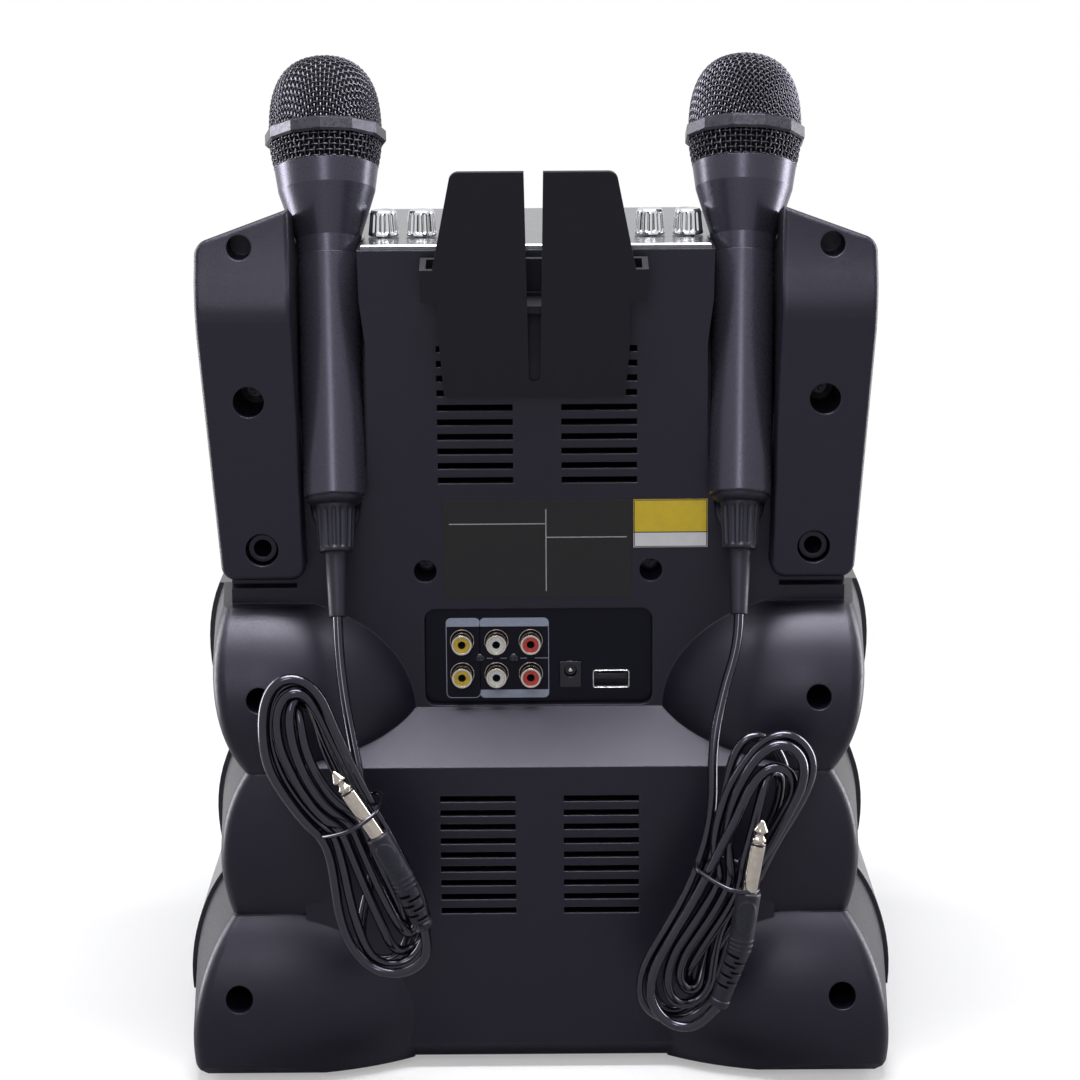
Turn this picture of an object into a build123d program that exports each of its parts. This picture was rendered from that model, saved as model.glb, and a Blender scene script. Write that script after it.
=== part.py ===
"""Table-top karaoke machine with a motorised disc tray, two wired microphones and a phone cradle.

Millimetres. +Z up, the screen and disc tray face -Y, the jacks face +Y, and +X is the right-hand
side for a person who faces the screen. The feet stand on z = 0.
"""

import os
from math import cos, pi, radians, sin, tan

from build123d import *

os.makedirs("parts", exist_ok=True)

# ---- driving dimensions ------------------------------------------------------------------------

wall = 2.5  # moulded shell
fit = 0.3  # gap round a loose piece
run = 0.4  # gap round a moving piece

seam_y = 35.0  # joint between the front shell and the rear cover
lip = 2.0  # the front shell stands out this far round the rear cover
front_y = -118.0  # foremost face
upper_rear_y = 73.0  # rear face above the shelf
lower_rear_y = 100.0  # rear face below the shelf
tower_rear_y = 85.0

floor_z = 3.0  # underside of the shells
shelf_low_z = 128.6  # sloping shelf between the two rear faces
shelf_high_z = 146.0
collar_low_z = 190.0
collar_high_z = 202.5
top_z = 333.5
tower_top_z = 349.6  # at the inner edge, where it is highest

tower_inner_top, tower_inner_low = 97.6, 92.8
tower_outer_top, tower_outer_low = 134.8, 126.4
tower_fall_out, tower_fall_front = 0.377, 0.235  # slopes of the tower tops, outwards and forwards
collar_half = 124.0

# Three lobes a side, lowest first: z span, outline of the side near its rear as (x, z), half width
# at the nose.
lobe_rows = [
    dict(
        z0=floor_z, z1=66.5, nose=148.0,
        side=[(141.0, 3.0), (142.3, 22.0), (138.6, 42.0), (131.5, 58.0), (125.2, 66.5)],
    ),
    dict(
        z0=66.5, z1=126.0, nose=136.5,
        side=[(125.2, 66.5), (128.6, 82.0), (129.0, 96.0), (126.0, 111.5), (118.6, 126.0)],
    ),
    dict(
        z0=126.0, z1=collar_low_z, nose=138.0,
        side=[(118.6, 126.0), (126.6, 141.0), (130.3, 162.0), (129.2, 178.0), (125.6, 190.0)],
    ),
]
# The rear of each lobe is a round bar that fades into the flat rear face as half an ellipsoid:
# axis (y, z), radius, where the full radius starts in x, and the reach inwards from there.
lobe_ends = [
    dict(y=54.1, z=22.5, r=63.9, x=117.0, reach=93.0),
    dict(y=-1.0, z=97.4, r=105.0, x=112.0, reach=170.0),
    dict(y=49.8, z=145.5, r=53.4, x=116.0, reach=73.0),
]
lobe_round = 5.5  # outer rear corner of a lobe
lobe_draft = 0.09  # the sides of the rear cover close in towards the rear
lobe_bevel = 7.0  # round the foot of the lowest lobe

channel_low_z = 216.0  # lowest point of a microphone channel
channel_lean = 21.0  # degrees, top towards the front, as the microphones

mic_foot = Vector(80.9, 82.0, 236.0)  # axis at the lower end of the handle
mic_axis = Vector(0.028, -sin(radians(channel_lean)), cos(radians(channel_lean))).normalized()
handle_r = 12.4
cone_start, cone_end, cone_r = 98.0, 125.0, 19.6
head_start, head_r = 134.5, 21.2
ring_at, ring_r, ring_h = 147.5, 24.6, 6.0
head_top = 181.0
bushing_end, bushing_r = -22.0, 7.4
relief_end, relief_r = -48.0, 3.6
cord_d = 4.0

cradle_x = 0.8
cradle_origin = Vector(cradle_x, 92.0, 328.0)  # rear wall at the top of the pocket
cradle_lean = 13.5
pocket_depth = 13.8

screen_low = (-97.0, 203.0)  # sloping screen face, (y, z)
screen_high = (-53.0, top_z)

tray_z = 181.0  # middle of the tray's thickness
tray_w, tray_l, tray_h = 128.0, 142.0, 6.0
tray_front_y = -111.0
disc_y = -42.0  # centre of a loaded disc

woofer_z, woofer_r = 70.0, 64.0
knob_xs = [-61.3, -46.0, -30.7, 30.7, 46.0, 61.3]
knob_y, knob_r, knob_h = 45.0, 6.3, 10.2
button_xs = [-45.0, -15.0, 15.0, 45.0]
button_z, button_r = 153.0, 6.0

# (x, z, radius of the well) for one side; the other side is its mirror.
screw_wells = [
    (114.0, 275.2, 6.2),
    (110.2, 215.2, 3.6),
    (45.6, 203.2, 4.6),
    (111.7, 157.4, 5.0),
    (121.4, 36.6, 5.5),
]
well_floor_y = 52.0
blind_well = (117.0, 335.3, 4.9, 60.5)  # x, z, radius and floor of the hole at the top of each tower
ring_well = (110.2, 215.2, 6.6, 81.5)  # x, z, radius and floor of the ring round the lowest tower well

vent_inner, vent_outer = 9.7, 40.0
vent_h, vent_pitch = 2.5, 5.92
vent_blocks = [(240.6, 10, upper_rear_y), (68.0, 9, lower_rear_y)]  # lowest slot, rows, face

recess_half, recess_low, recess_high, recess_depth = 46.3, 146.8, 187.4, 4.0
rca_xs = [31.2, 17.2, 3.2]
rca_zs = [172.8, 158.9]
rca_r = 4.1
dc_x, dc_z, dc_side = -13.0, 158.6, 9.6
usb_x, usb_z = -29.6, 156.6


# ---- helpers -----------------------------------------------------------------------------------


def save(name, shape):
    shape.label = name
    export_step(shape, f"parts/{name}.step")
    print(name, len(shape.solids()), round(shape.volume))


def both(shape):
    """The shape with its mirror in X."""
    return shape + mirror(shape, Plane.YZ)


def box(x0, x1, y0, y1, z0, z1):
    return Pos((x0 + x1) / 2, (y0 + y1) / 2, (z0 + z1) / 2) * Box(x1 - x0, y1 - y0, z1 - z0)


def prism_x(points, x0, x1):
    """A closed (y, z) outline swept from x0 to x1."""
    plane = Plane((x0, 0, 0), x_dir=(0, 1, 0), z_dir=(1, 0, 0))
    return extrude(plane * make_face(Polyline(*points, close=True)), x1 - x0)


def prism_y(points, y0, y1):
    """A closed (x, z) outline swept from y0 to y1."""
    plane = Plane((0, y1, 0), x_dir=(1, 0, 0), z_dir=(0, -1, 0))
    return extrude(plane * make_face(Polyline(*points, close=True)), y1 - y0)


def rod_y(x, z, radius, y0, y1):
    """A round bar along Y."""
    return Pos(x, (y0 + y1) / 2, z) * Rot(90, 0, 0) * Cylinder(radius, y1 - y0)


def turned(points):
    """A solid turned about local Z from an (r, z) outline."""
    return revolve(Plane.XZ * make_face(Polyline(*points, close=True)), Axis.Z)


# ---- outer form --------------------------------------------------------------------------------


def lobe(row, end, inset, grow):
    """One lobe on the +X side: the side bulge and the rear bar met, the corner rounded."""
    z0 = row["z0"] + (inset if row["z0"] > floor_z else 0)
    z1 = row["z1"] - inset
    wide = grow - inset
    side = [(x + wide, z) for x, z in row["side"]]
    side[0], side[-1] = (side[0][0], z0), (side[-1][0], z1)

    def outline(y):
        shift = lobe_draft * (95 - y)
        points = [(x + shift, z) for x, z in side]
        edge = Line((20, z0), points[0]) + Spline(*points) + Polyline(points[-1], (20, z1), (20, z0))
        return Plane((0, y, 0), x_dir=(1, 0, 0), z_dir=(0, -1, 0)) * make_face(edge)

    shape = loft([outline(130), outline(seam_y)], ruled=True)
    shape += extrude(outline(seam_y), seam_y - front_y - inset)
    side_x, nose = row["nose"] - inset, front_y + inset
    plan = Polyline((84, nose), (84, 0), (20, 0), (20, 130), (200, 130), (200, -40), (side_x, -62))
    plan += ThreePointArc((side_x, -62), (side_x - 12, -100 + inset), (side_x - 47, nose))
    plan += Polyline((side_x - 47, nose), (84, nose))
    shape = shape & extrude(make_face(plan), 400)
    radius, reach = end["r"] - inset, end["reach"] - inset
    half = EllipticalCenterArc((0, 0), reach, radius, start_angle=90, arc_size=90)
    half += Polyline((-reach, 0), (90, 0), (90, radius), (0, radius))
    axis_plane = Plane((end["x"], end["y"], end["z"]), x_dir=(1, 0, 0), z_dir=(0, 0, 1))
    bar = axis_plane * revolve(make_face(half), Axis.X)
    shape = shape & (bar + box(0, 200, -150, end["y"], -10, 400))
    corner = [e for e in shape.edges() if e.center().X > 105 and e.center().Y > 80]
    corner = [e for e in corner if abs((e @ 1).Z - (e @ 0).Z) > 8]
    shape = fillet(corner, lobe_round - inset)
    if row["z0"] == floor_z:
        low = floor_z - 1
        back, out = 111.5 - 1.46 * inset, 135.5 - 1.4 * inset + grow
        rise = lobe_bevel + 1
        back_cut = [(back - 1, low), (back - 1 + rise * 1.07, low + rise), (140, low + rise), (140, low)]
        side_cut = [(out - 1, low), (out - 1 + rise, low + rise), (190, low + rise), (190, low)]
        shape -= prism_x(back_cut, 0, 200)
        shape -= prism_y(side_cut, -60, 140)
    return shape


def tower(inset, grow):
    """One tower on the +X side."""
    wide = grow - inset
    outline = [
        (tower_inner_low + inset, collar_high_z + inset),
        (tower_outer_low + wide, collar_high_z + inset),
        (tower_outer_top - 0.8 + wide, 302.0),
        (tower_outer_top + wide, 322.0),
        (tower_outer_top + wide, 400.0),
        (tower_inner_top + 1.8 + inset, 400.0),
        (tower_inner_top + inset, 347.0),
    ]
    face = make_face(Polyline(*outline, close=True))
    face = fillet([v for v in face.vertices() if v.Y < collar_high_z + inset + 1], 6.0 - inset)
    start = Plane((0, 100, 0), x_dir=(1, 0, 0), z_dir=(0, -1, 0))
    body = extrude(start * face, 200)
    rear = [(tower_rear_y, 307.0), (84.2, 314.0), (81.0, 322.0), (77.6, 329.5), (75.3, 337.0), (72.0, 352.0)]
    rear = [(y - inset, z) for y, z in rear]
    foot = (rear[0][0], collar_high_z)
    profile = Polyline(rear[-1], (rear[-1][0], 420), (-120, 420), (-93 + inset, collar_high_z), foot, rear[0])
    profile += Spline(*rear, tangents=[(0, 1), (-0.22, 1)])
    side = extrude(Plane((60, 0, 0), x_dir=(0, 1, 0), z_dir=(1, 0, 0)) * make_face(profile), 90)
    body = body & side
    front = [(-93 + inset, collar_high_z), (-58 + inset, 340), (-48 + inset, 380), (120, 380), (120, collar_high_z)]
    body = body & prism_x(front, 60, 150)
    crest = tower_top_z - inset + grow
    top = Plane((tower_inner_top, 69, crest), z_dir=(tower_fall_out, -tower_fall_front, 1))
    body = body & (top * Pos(0, 0, -200) * Box(600, 600, 400))
    high = [e for e in body.edges() if e.center().X > tower_outer_top - 3 - inset and e.center().Z > 300]
    high = [e for e in high if abs((e @ 1).Y - (e @ 0).Y) > 60]
    body = fillet(high, 7.0 - inset)
    if inset == 0 and grow == 0:
        rim = [e for e in body.edges() if e.center().Y > 66 and min((e @ 0).Y, (e @ 1).Y) > 66]
        rim = [e for e in rim if e.length > 1 and not (abs((e @ 0).X - (e @ 1).X) > 30 and 210 < e.center().Z < 330)]
        body = fillet(rim, 2.0)
    return body


def outer_form(inset=0.0, grow=0.0):
    """The whole outer shape, drawn in by inset; grow widens only its sides."""
    shape = None
    for row, end in zip(lobe_rows, lobe_ends):
        piece = lobe(row, end, inset, grow)
        shape = piece if shape is None else shape + piece
    shape += tower(inset, grow)
    shape = shape + mirror(shape, Plane.YZ)
    trunk = [
        (front_y + 4 + inset, floor_z),
        (lower_rear_y - 5 - inset, floor_z),
        (lower_rear_y - inset, 10.5),
        (lower_rear_y - inset, shelf_low_z - 0.6 * inset),
        (upper_rear_y - inset, shelf_high_z - 0.6 * inset),
        (upper_rear_y - inset, top_z - inset),
        (screen_high[0] + inset, top_z - inset),
        (screen_low[0] + inset, screen_low[1]),
        (front_y + 4 + inset, 196.0),
    ]
    trunk_half = tower_inner_low + 2 - inset
    shape += prism_x(trunk, -trunk_half, trunk_half)
    collar = box(
        -(collar_half - inset), collar_half - inset,
        -100 + inset, upper_rear_y - inset,
        collar_low_z - 4, collar_high_z + 4 if inset == 0 else collar_high_z + inset + 1,
    )
    return shape + collar


def channel(extra):
    """The open channel that a microphone hangs in, on the +X side, widened by extra all round."""
    inner = [(71.0, 340), (70.4, 313), (68.2, 296), (68.2, 278), (68.6, 250), (71.0, 232), (71.6, 226)]
    outer = [(90.6, 226), (92.8, 240), (94.6, 267), (95.6, 296), (96.6, 325), (97.6, 350), (97.6, 400)]
    points = [(71.0 - extra, 400)]
    points += [(x - extra, z) for x, z in inner]
    points += [(74.6, channel_low_z + 3 - extra), (80.0, channel_low_z - extra), (87.0, channel_low_z + 2.4 - extra)]
    points += [(x + extra, z) for x, z in outer]
    shape = prism_y(points, -40, 110)
    back = mic_foot.Y - handle_r / cos(radians(channel_lean)) - 1.6 - extra
    slope = tan(radians(channel_lean))
    cut = [(110, 150), (back + (mic_foot.Z - 150) * slope, 150), (back - (420 - mic_foot.Z) * slope, 420), (110, 420)]
    return shape & prism_x(cut, 40, 130)


def both_boxes(x0, x1, y0, y1, z0, z1):
    """A box on the +X side and its mirror."""
    return both(box(x0, x1, y0, y1, z0, z1))


# ---- casing ------------------------------------------------------------------------------------

rear_form = outer_form()
front_form = outer_form(grow=lip)
hollow = outer_form(wall)
hollow += box(-110, 110, -100, 95.5, floor_z, 122) + box(-118.5, 118.5, -60, 80, floor_z, 122)
front_hollow = hollow + box(-115, 115, -60, seam_y + 5, 122, 195)
channels = both(channel(0))
mic_plane = Plane(mic_foot, x_dir=Vector(0, 1, 0).cross(mic_axis), z_dir=mic_axis)
clear_r = 0.8
seat_cone = mic_plane * turned([
    (0, cone_start - 2), (handle_r + clear_r, cone_start - 2), (handle_r + clear_r, cone_start),
    (13.1 + clear_r, cone_start + 7), (cone_r + clear_r, cone_end), (head_r + clear_r, head_start), (0, head_start),
])
seats = None
for lift in (0, 5, 10, 16):
    raised = Pos(mic_axis.X / mic_axis.Z * lift, 0, lift) * seat_cone
    seats = raised if seats is None else seats + raised
seats = both(seats)
liners = both(channel(wall))

behind = box(-200, 200, seam_y, 200, 0, 400)
before = box(-200, 200, -200, seam_y, 0, 400)

rear_cover = (rear_form - (hollow - liners)) & behind
front_shell = (front_form - (front_hollow - liners)) & before

bosses, wells, front_bosses, screws = None, None, None, None
for x, z, radius in screw_wells:
    boss = rod_y(x, z, radius + 2, seam_y, 115)
    well = rod_y(x, z, radius, well_floor_y, 130) + rod_y(x, z, 1.7, seam_y - 1, well_floor_y + 1)
    post = rod_y(x, z, 4.5, 8, seam_y)
    if x > 60:
        post += box(x, x + 40, 8, seam_y, z - 1.2, z + 1.2)
    post -= rod_y(x, z, 1.5, 12, seam_y + 1)
    screw = rod_y(x, z, 1.5, 14, well_floor_y) + rod_y(x, z, 3.2, well_floor_y, well_floor_y + 2.4)
    screw -= Pos(x, well_floor_y + 2.4, z) * (Box(0.8, 2, 4) + Box(4, 2, 0.8))
    bosses = boss if bosses is None else bosses + boss
    wells = well if wells is None else wells + well
    front_bosses = post if front_bosses is None else front_bosses + post
    screws = screw if screws is None else screws + screw
x, z, radius, floor = blind_well
bosses += rod_y(x, z, radius + 2, seam_y, 115)
wells += rod_y(x, z, radius, floor, 130)
x, z, radius, floor = ring_well
wells += rod_y(x, z, radius, floor, 130)
rear_cover += both(bosses) & rear_form & behind
rear_cover -= both(wells)

recess_h = recess_high - recess_low


def recess_block(half, high, radius, y0, y1):
    """A round-cornered block centred on the jack recess, from y0 to y1."""
    plane = Plane((0, y0, (recess_low + recess_high) / 2), x_dir=(-1, 0, 0), z_dir=(0, 1, 0))
    return extrude(plane * RectangleRounded(2 * half, high, radius), y1 - y0)


ledge_y = upper_rear_y - recess_depth - 1.5
rear_cover += recess_block(recess_half + 2, recess_h + 4, 6, ledge_y - 2, upper_rear_y - 1) & rear_form
rear_cover -= recess_block(recess_half, recess_h, 4.7, ledge_y, upper_rear_y + 5)
rear_cover -= recess_block(recess_half - 4, recess_h - 8, 3, ledge_y - 5, upper_rear_y)

slots = None
for z_low, rows, face in vent_blocks:
    for row in range(rows):
        z = z_low + vent_pitch * row
        slot = both_boxes(vent_inner, vent_outer, face - 6, face + 5, z - vent_h / 2, z + vent_h / 2)
        slots = slot if slots is None else slots + slot
rear_cover -= slots
for x in knob_xs:
    rear_cover -= Pos(x, knob_y, top_z) * Cylinder(3.4, 20)
step = [(upper_rear_y - 1.8, collar_high_z), (upper_rear_y - 1.8, 198.2), (upper_rear_y + 0.2, 196.2)]
step += [(upper_rear_y + 5, 196.2), (upper_rear_y + 5, collar_high_z)]
rear_cover -= both(prism_x(step, 97.5, 130))
rear_cover -= channels
rear_cover -= seats

# ---- front shell -------------------------------------------------------------------------------

front_bosses += box(0, 96, 8, seam_y, 205.2, 208.2) - rod_y(45.6, 203.2, 1.5, 12, seam_y + 1)
front_shell += both(front_bosses) & front_form
front_face = front_y + 4
door_half, door_low, door_high = 66.0, 174.0, 188.6
front_shell -= box(-door_half - fit, door_half + fit, -130, -100, door_low - fit, door_high + fit)
front_shell -= rod_y(0, woofer_z, woofer_r - 5, -130, -100)
front_shell -= rod_y(0, woofer_z, woofer_r + 2, -130, front_face + 1.2)
for x in button_xs:
    front_shell -= rod_y(x, button_z, button_r + run, -130, -100)
for x in (-74.0, 74.0):
    front_shell -= rod_y(x, button_z, 5.6, -130, -100)

slope_run = screen_high[0] - screen_low[0]
slope_rise = screen_high[1] - screen_low[1]
slope_normal = Vector(0, -slope_rise, slope_run).normalized()
screen_plane = Plane(
    (0, (screen_low[0] + screen_high[0]) / 2, (screen_low[1] + screen_high[1]) / 2),
    x_dir=(1, 0, 0),
    z_dir=slope_normal,
)
front_shell -= screen_plane * Pos(0, 0, -1) * Box(160, 96, 12)
front_shell -= screen_plane * Pos(0, 0, 0) * Box(174.6, 114.6, 3)

lens_run = 35.0 / 137.5  # slope of the tower fronts


def lens_outline(out, depth, z0, z1):
    """(y, z) outline that follows the sloping tower front, from out in front of it to depth behind."""
    face0 = -93 + (z0 - collar_high_z) * lens_run
    face1 = -93 + (z1 - collar_high_z) * lens_run
    return [(face0 - out, z0), (face0 + depth, z0), (face1 + depth, z1), (face1 - out, z1)]


light_lenses = both(prism_x(lens_outline(1.0, 1.5, 232, 300), 106, 122))
front_shell -= both(prism_x(lens_outline(9, 1.5, 232, 300), 106, 122))
front_shell -= channels
front_shell -= seats

# ---- base --------------------------------------------------------------------------------------

base_plate = outer_form(wall + 0.2) & box(-150, 150, -130, 130, floor_z - 0.5, floor_z + 2)
feet = None
for x in (-103.0, 103.0):
    for y in (-84.0, 82.0):
        foot = Pos(x, y, 0) * (Pos(0, 0, 1.25) * Cylinder(8, 2.5))
        feet = foot if feet is None else feet + foot

# ---- top panel and knobs -----------------------------------------------------------------------

plate_top = top_z + 2.0
top_panel = box(-69.5, 69.5, -50, upper_rear_y - 1.0, top_z, plate_top)
top_panel = chamfer(top_panel.edges().group_by(Axis.Z)[-1], 0.6)
for x in knob_xs:
    top_panel -= Pos(x, knob_y, top_z) * Cylinder(3.4, 20)
board_z = 316.0
knobs = []
for x in knob_xs:
    body = turned([(0, 0), (knob_r, 0), (knob_r, 1.2), (knob_r - 0.5, knob_h - 1), (knob_r - 1.3, knob_h), (0, knob_h)])
    body -= Pos(0, knob_r - 1.4, knob_h - 1) * Box(0.9, 3, 3)
    shaft = Pos(0, 0, -4) * Cylinder(2.6, 8)
    knobs.append(Pos(x, knob_y, plate_top + 0.5) * (body + shaft))

# ---- phone cradle ------------------------------------------------------------------------------

lean = radians(cradle_lean)
cradle_plane = Plane(cradle_origin, x_dir=(1, 0, 0), z_dir=(0, -cos(lean), sin(lean)))
skin = 1.7


def cradle_at(up, depth):
    """(y, z) of a place up the rear wall and depth towards the front."""
    y = cradle_origin.Y + up * sin(lean) - depth * cos(lean)
    return (y, cradle_origin.Z + up * cos(lean) + depth * sin(lean))


ear_low, mouth_low, box_low = -13.5, -16.0, -54.0
ears = cradle_plane * Pos(0, ear_low / 2, pocket_depth / 2) * Box(89.4, -ear_low, pocket_depth)
front_side_y = 74.6
low_front = cradle_at(ear_low, pocket_depth)
wedge = [cradle_at(box_low, 0), cradle_at(ear_low + 0.5, 0), cradle_at(ear_low + 0.5, pocket_depth)]
wedge += [(front_side_y, low_front[1]), (front_side_y, cradle_at(box_low, 0)[1])]
lower_box = prism_x(wedge, cradle_x - 37.6, cradle_x + 37.6)
taper = prism_y([(-39, 317), (39, 317), (35.9, 275), (-35.9, 275)], 60, 120)
lower_box = lower_box & Pos(cradle_x, 0, 0) * taper
plate_half_low, plate_half_top, plate_up = 39.9, 31.9, 40.0
plate = make_face(
    Polyline(
        (-plate_half_low, -1), (plate_half_low, -1), (plate_half_top, plate_up), (-plate_half_top, plate_up),
        close=True,
    )
)
plate = fillet([v for v in plate.vertices() if v.Y > 1], 3.8)
cradle = ears + lower_box + cradle_plane * extrude(plate, skin)
pocket = Pos(0, (-12 + 30) / 2, pocket_depth / 2) * Box(84.6, 42, pocket_depth - 2 * skin)
pocket += Pos(0, (mouth_low + 10) / 2, pocket_depth / 2) * Box(69, 10 - mouth_low, pocket_depth - 2 * skin)
cradle -= cradle_plane * pocket
inner_low = [(78.9, 283.0), (79.5, 283.0), (86.8, 309.8), (78.9, 309.8)]
cradle -= prism_x(inner_low, cradle_x - 34, cradle_x + 34)
slot = make_face(Polyline((-2.3, -45), (2.3, -45), (3.8, plate_up + 5), (-3.8, plate_up + 5), close=True))
slot = extrude(slot, 2.2) + Pos(0, -45, 1.1) * Cylinder(2.35, 2.2)
cradle -= cradle_plane * Pos(0, 0, -0.1) * slot
rail_low, rail_high = 284.0, 308.0
cradle_rail = box(-13, 15, upper_rear_y, 75.6, rail_low, rail_high) + box(-19, 21, 75.6, 77.0, rail_low, rail_high)
cradle -= box(-13 - run, 15 + run, 70, 75.6, 270, rail_high + run)
cradle -= box(-19 - run, 21 + run, 75.6 - run, 77.0 + run, 270, rail_high + run)

# ---- screen ------------------------------------------------------------------------------------

screen_bezel = screen_plane * Pos(0, 0, 0.75) * Box(174, 114, 4.5)
screen_bezel -= screen_plane * Box(156, 92, 20)
screen_bezel = screen_bezel & box(-100, 100, -140, 0, 190, 333)
screen_window = screen_plane * Pos(0, 0, 1.0) * Box(156, 92, 2)
lcd_module = screen_plane * Pos(0, 0, -4.6) * Box(156, 92, 8)

# ---- disc drive --------------------------------------------------------------------------------

tray_low, tray_high = tray_z - tray_h / 2, tray_z + tray_h / 2
tray_back_y = tray_front_y + tray_l
disc_tray = box(-tray_w / 2, tray_w / 2, tray_front_y, tray_back_y, tray_low, tray_high)
disc_tray -= Pos(0, disc_y, tray_high) * Cylinder(60.8, 3.6)
disc_tray -= Pos(0, disc_y, tray_high) * Cylinder(41, 5.0)
disc_tray -= box(-19, 19, disc_y - 19, tray_back_y - 22, tray_low - 5, tray_high + 5)
rack_x = 52.0
disc_tray += box(rack_x, rack_x + 2.5, tray_front_y + 6, tray_back_y - 2, tray_low - 3.6, tray_low)
tray_door = box(-door_half, door_half, front_face, tray_front_y, door_low, door_high)
tray_door = chamfer(tray_door.edges().filter_by(Axis.X).group_by(Axis.Y)[0], 0.8)

gear_r, gear_y = 9.0, -88.0
gear_x = rack_x - gear_r - run
tray_gear = Pos(gear_x, gear_y, tray_low - 2.6) * Cylinder(gear_r - 1.2, 3.6)
for tooth in range(18):
    tray_gear += Pos(gear_x, gear_y, tray_low - 2.6) * Rot(0, 0, 20 * tooth) * Pos(gear_r - 0.9, 0, 0) * Box(1.7, 1.2, 3.6)
tray_gear -= Pos(gear_x, gear_y, 170) * Cylinder(2.05, 40)

deck_low, deck_high = 166.0, 168.0
drive_chassis = box(-70, 70, -104, 48, deck_low, deck_high)
drive_chassis += both_boxes(tray_w / 2 + run, 70, -104, 48, deck_low, 190)
drive_chassis += box(-70, 70, disc_y - 16, disc_y + 16, 189.5, 191.5)
drive_chassis += Pos(gear_x, gear_y, 172) * Cylinder(2.0, 9)
drive_chassis -= Pos(0, disc_y, deck_low) * Cylinder(9, 10)
drive_chassis -= Pos(0, disc_y, 190) * Cylinder(8.4, 10)
for x in (-13.0, 13.0):
    drive_chassis += rod_y(x, 172.0, 1.5, -20, 46)
    for y in (-22, 44):
        drive_chassis += box(x - 2, x + 2, y, y + 2, deck_high - 0.5, 174)

spindle = Pos(0, disc_y, 164.0) * turned([
    (0, 0), (8.4, 0), (8.4, 8), (14, 8), (14, 10.6), (7.3, 10.6), (5, 13.2), (0, 13.2),
])
laser_sled = box(-17.5, 17.5, -18.5, 3.5, 169.4, 175.0) + box(-6, 6, -12, -2, 175.0, 176.2)
for x in (-13.0, 13.0):
    laser_sled -= rod_y(x, 172.0, 1.55, -30, 60)
disc_clamp = Pos(0, disc_y, 185.6) * turned([(0, 0), (14, 0), (14, 3), (7.9, 3), (7.9, 6.8), (11.5, 6.8), (11.5, 8.2), (0, 8.2)])

# ---- speaker -----------------------------------------------------------------------------------


def turned_y(points, y, z):
    """A solid turned about the line along Y at height z, from (r, y) with y counted rearwards."""
    plane = Plane((0, y, z), x_dir=(1, 0, 0), z_dir=(0, 1, 0))
    return plane * turned(points)


flange_y = front_face + wall
woofer_frame = turned_y([(56, 0), (woofer_r, 0), (woofer_r, 2.5), (58, 2.5), (36, 32), (36, 34), (31, 34), (31, 31), (56, 2)], flange_y, woofer_z)
for turn in range(4):
    window = Plane((0, flange_y + 18, woofer_z), x_dir=(1, 0, 0), z_dir=(0, 1, 0)) * Rot(0, 0, 90 * turn + 45)
    woofer_frame -= window * Pos(48, 0, 0) * Box(40, 40, 19)
woofer_frame += turned_y([(18, 34), (37, 34), (37, 52), (0, 52), (0, 46), (18, 46)], flange_y, woofer_z)
woofer_cone = turned_y(
    [(54.3, 0.2), (54.3, 1.8), (50, 1.8), (46, 4.2), (16.5, 26), (16.5, 44), (15, 44), (15, 22), (0, 18), (0, 16.5), (14, 19), (45, 2.6), (49, 0.2)],
    flange_y, woofer_z,
)
speaker_grille = rod_y(0, woofer_z, woofer_r + 1.7, front_y + 1.5, front_face)
speaker_grille += rod_y(0, woofer_z, woofer_r + 1.7, front_face, front_face + 1.2)
speaker_grille -= rod_y(0, woofer_z, woofer_r - 2, front_y + 3.0, front_face + 5)
holes = None
for ring in range(1, 9):
    count = 6 * ring
    for k in range(count):
        turn = 2 * pi * k / count
        hole = rod_y(7 * ring * cos(turn), woofer_z + 7 * ring * sin(turn), 2.5, front_y - 2, front_y + 6)
        holes = hole if holes is None else holes + hole
speaker_grille -= holes

# ---- electronics -------------------------------------------------------------------------------

main_board = box(-66, 66, 38, 54, board_z, board_z + 1.6)
for x in knob_xs:
    main_board += Pos(x, knob_y, board_z + 1.6 + 3) * Cylinder(4, 6)
io_board_y = 58.0
main_board += box(-42, 40, io_board_y, io_board_y + 1.6, 151, 182)
main_board += box(-84, 84, -60, 30, 140, 141.6) + box(-60, 60, -105, -103.4, 145.5, 161)
for x, y, w, d, h in ((-50, -20, 24, 24, 2.5), (10, -10, 18, 18, 2), (50, 5, 30, 14, 10), (-10, -45, 12, 12, 9)):
    main_board += box(x - w / 2, x + w / 2, y - d / 2, y + d / 2, 141.6, 141.6 + h)

panel_y = ledge_y + 1.5
jack_panel = recess_block(recess_half - fit, recess_h - 2 * fit, 4.4, ledge_y, panel_y)
rca_sleeves, rca_cores = None, []
for x in rca_xs:
    core = None
    for z in rca_zs:
        jack_panel -= rod_y(x, z, rca_r + 0.1, 50, 90)
        sleeve = rod_y(x, z, rca_r, 64, panel_y + 7) - rod_y(x, z, rca_r - 0.8, 60, 90)
        inner = rod_y(x, z, rca_r - 0.8, io_board_y + 1.6, panel_y + 6.6) - rod_y(x, z, 1.6, 62, 90)
        rca_sleeves = sleeve if rca_sleeves is None else rca_sleeves + sleeve
        core = inner if core is None else core + inner
    rca_cores.append(core)
dc_jack = box(dc_x - 4.4, dc_x + 4.4, io_board_y + 1.6, panel_y + 0.6, dc_z - 5.5, dc_z + 5.5)
jack_panel -= box(dc_x - 4.5, dc_x + 4.5, 50, 90, dc_z - 5.6, dc_z + 5.6)
dc_jack -= rod_y(dc_x, dc_z + 1.4, 2.5, io_board_y + 4, 90)
dc_jack += rod_y(dc_x, dc_z + 1.4, 1.0, io_board_y + 3.5, panel_y - 0.6)
usb_w, usb_h = 15.0, 7.6
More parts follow.
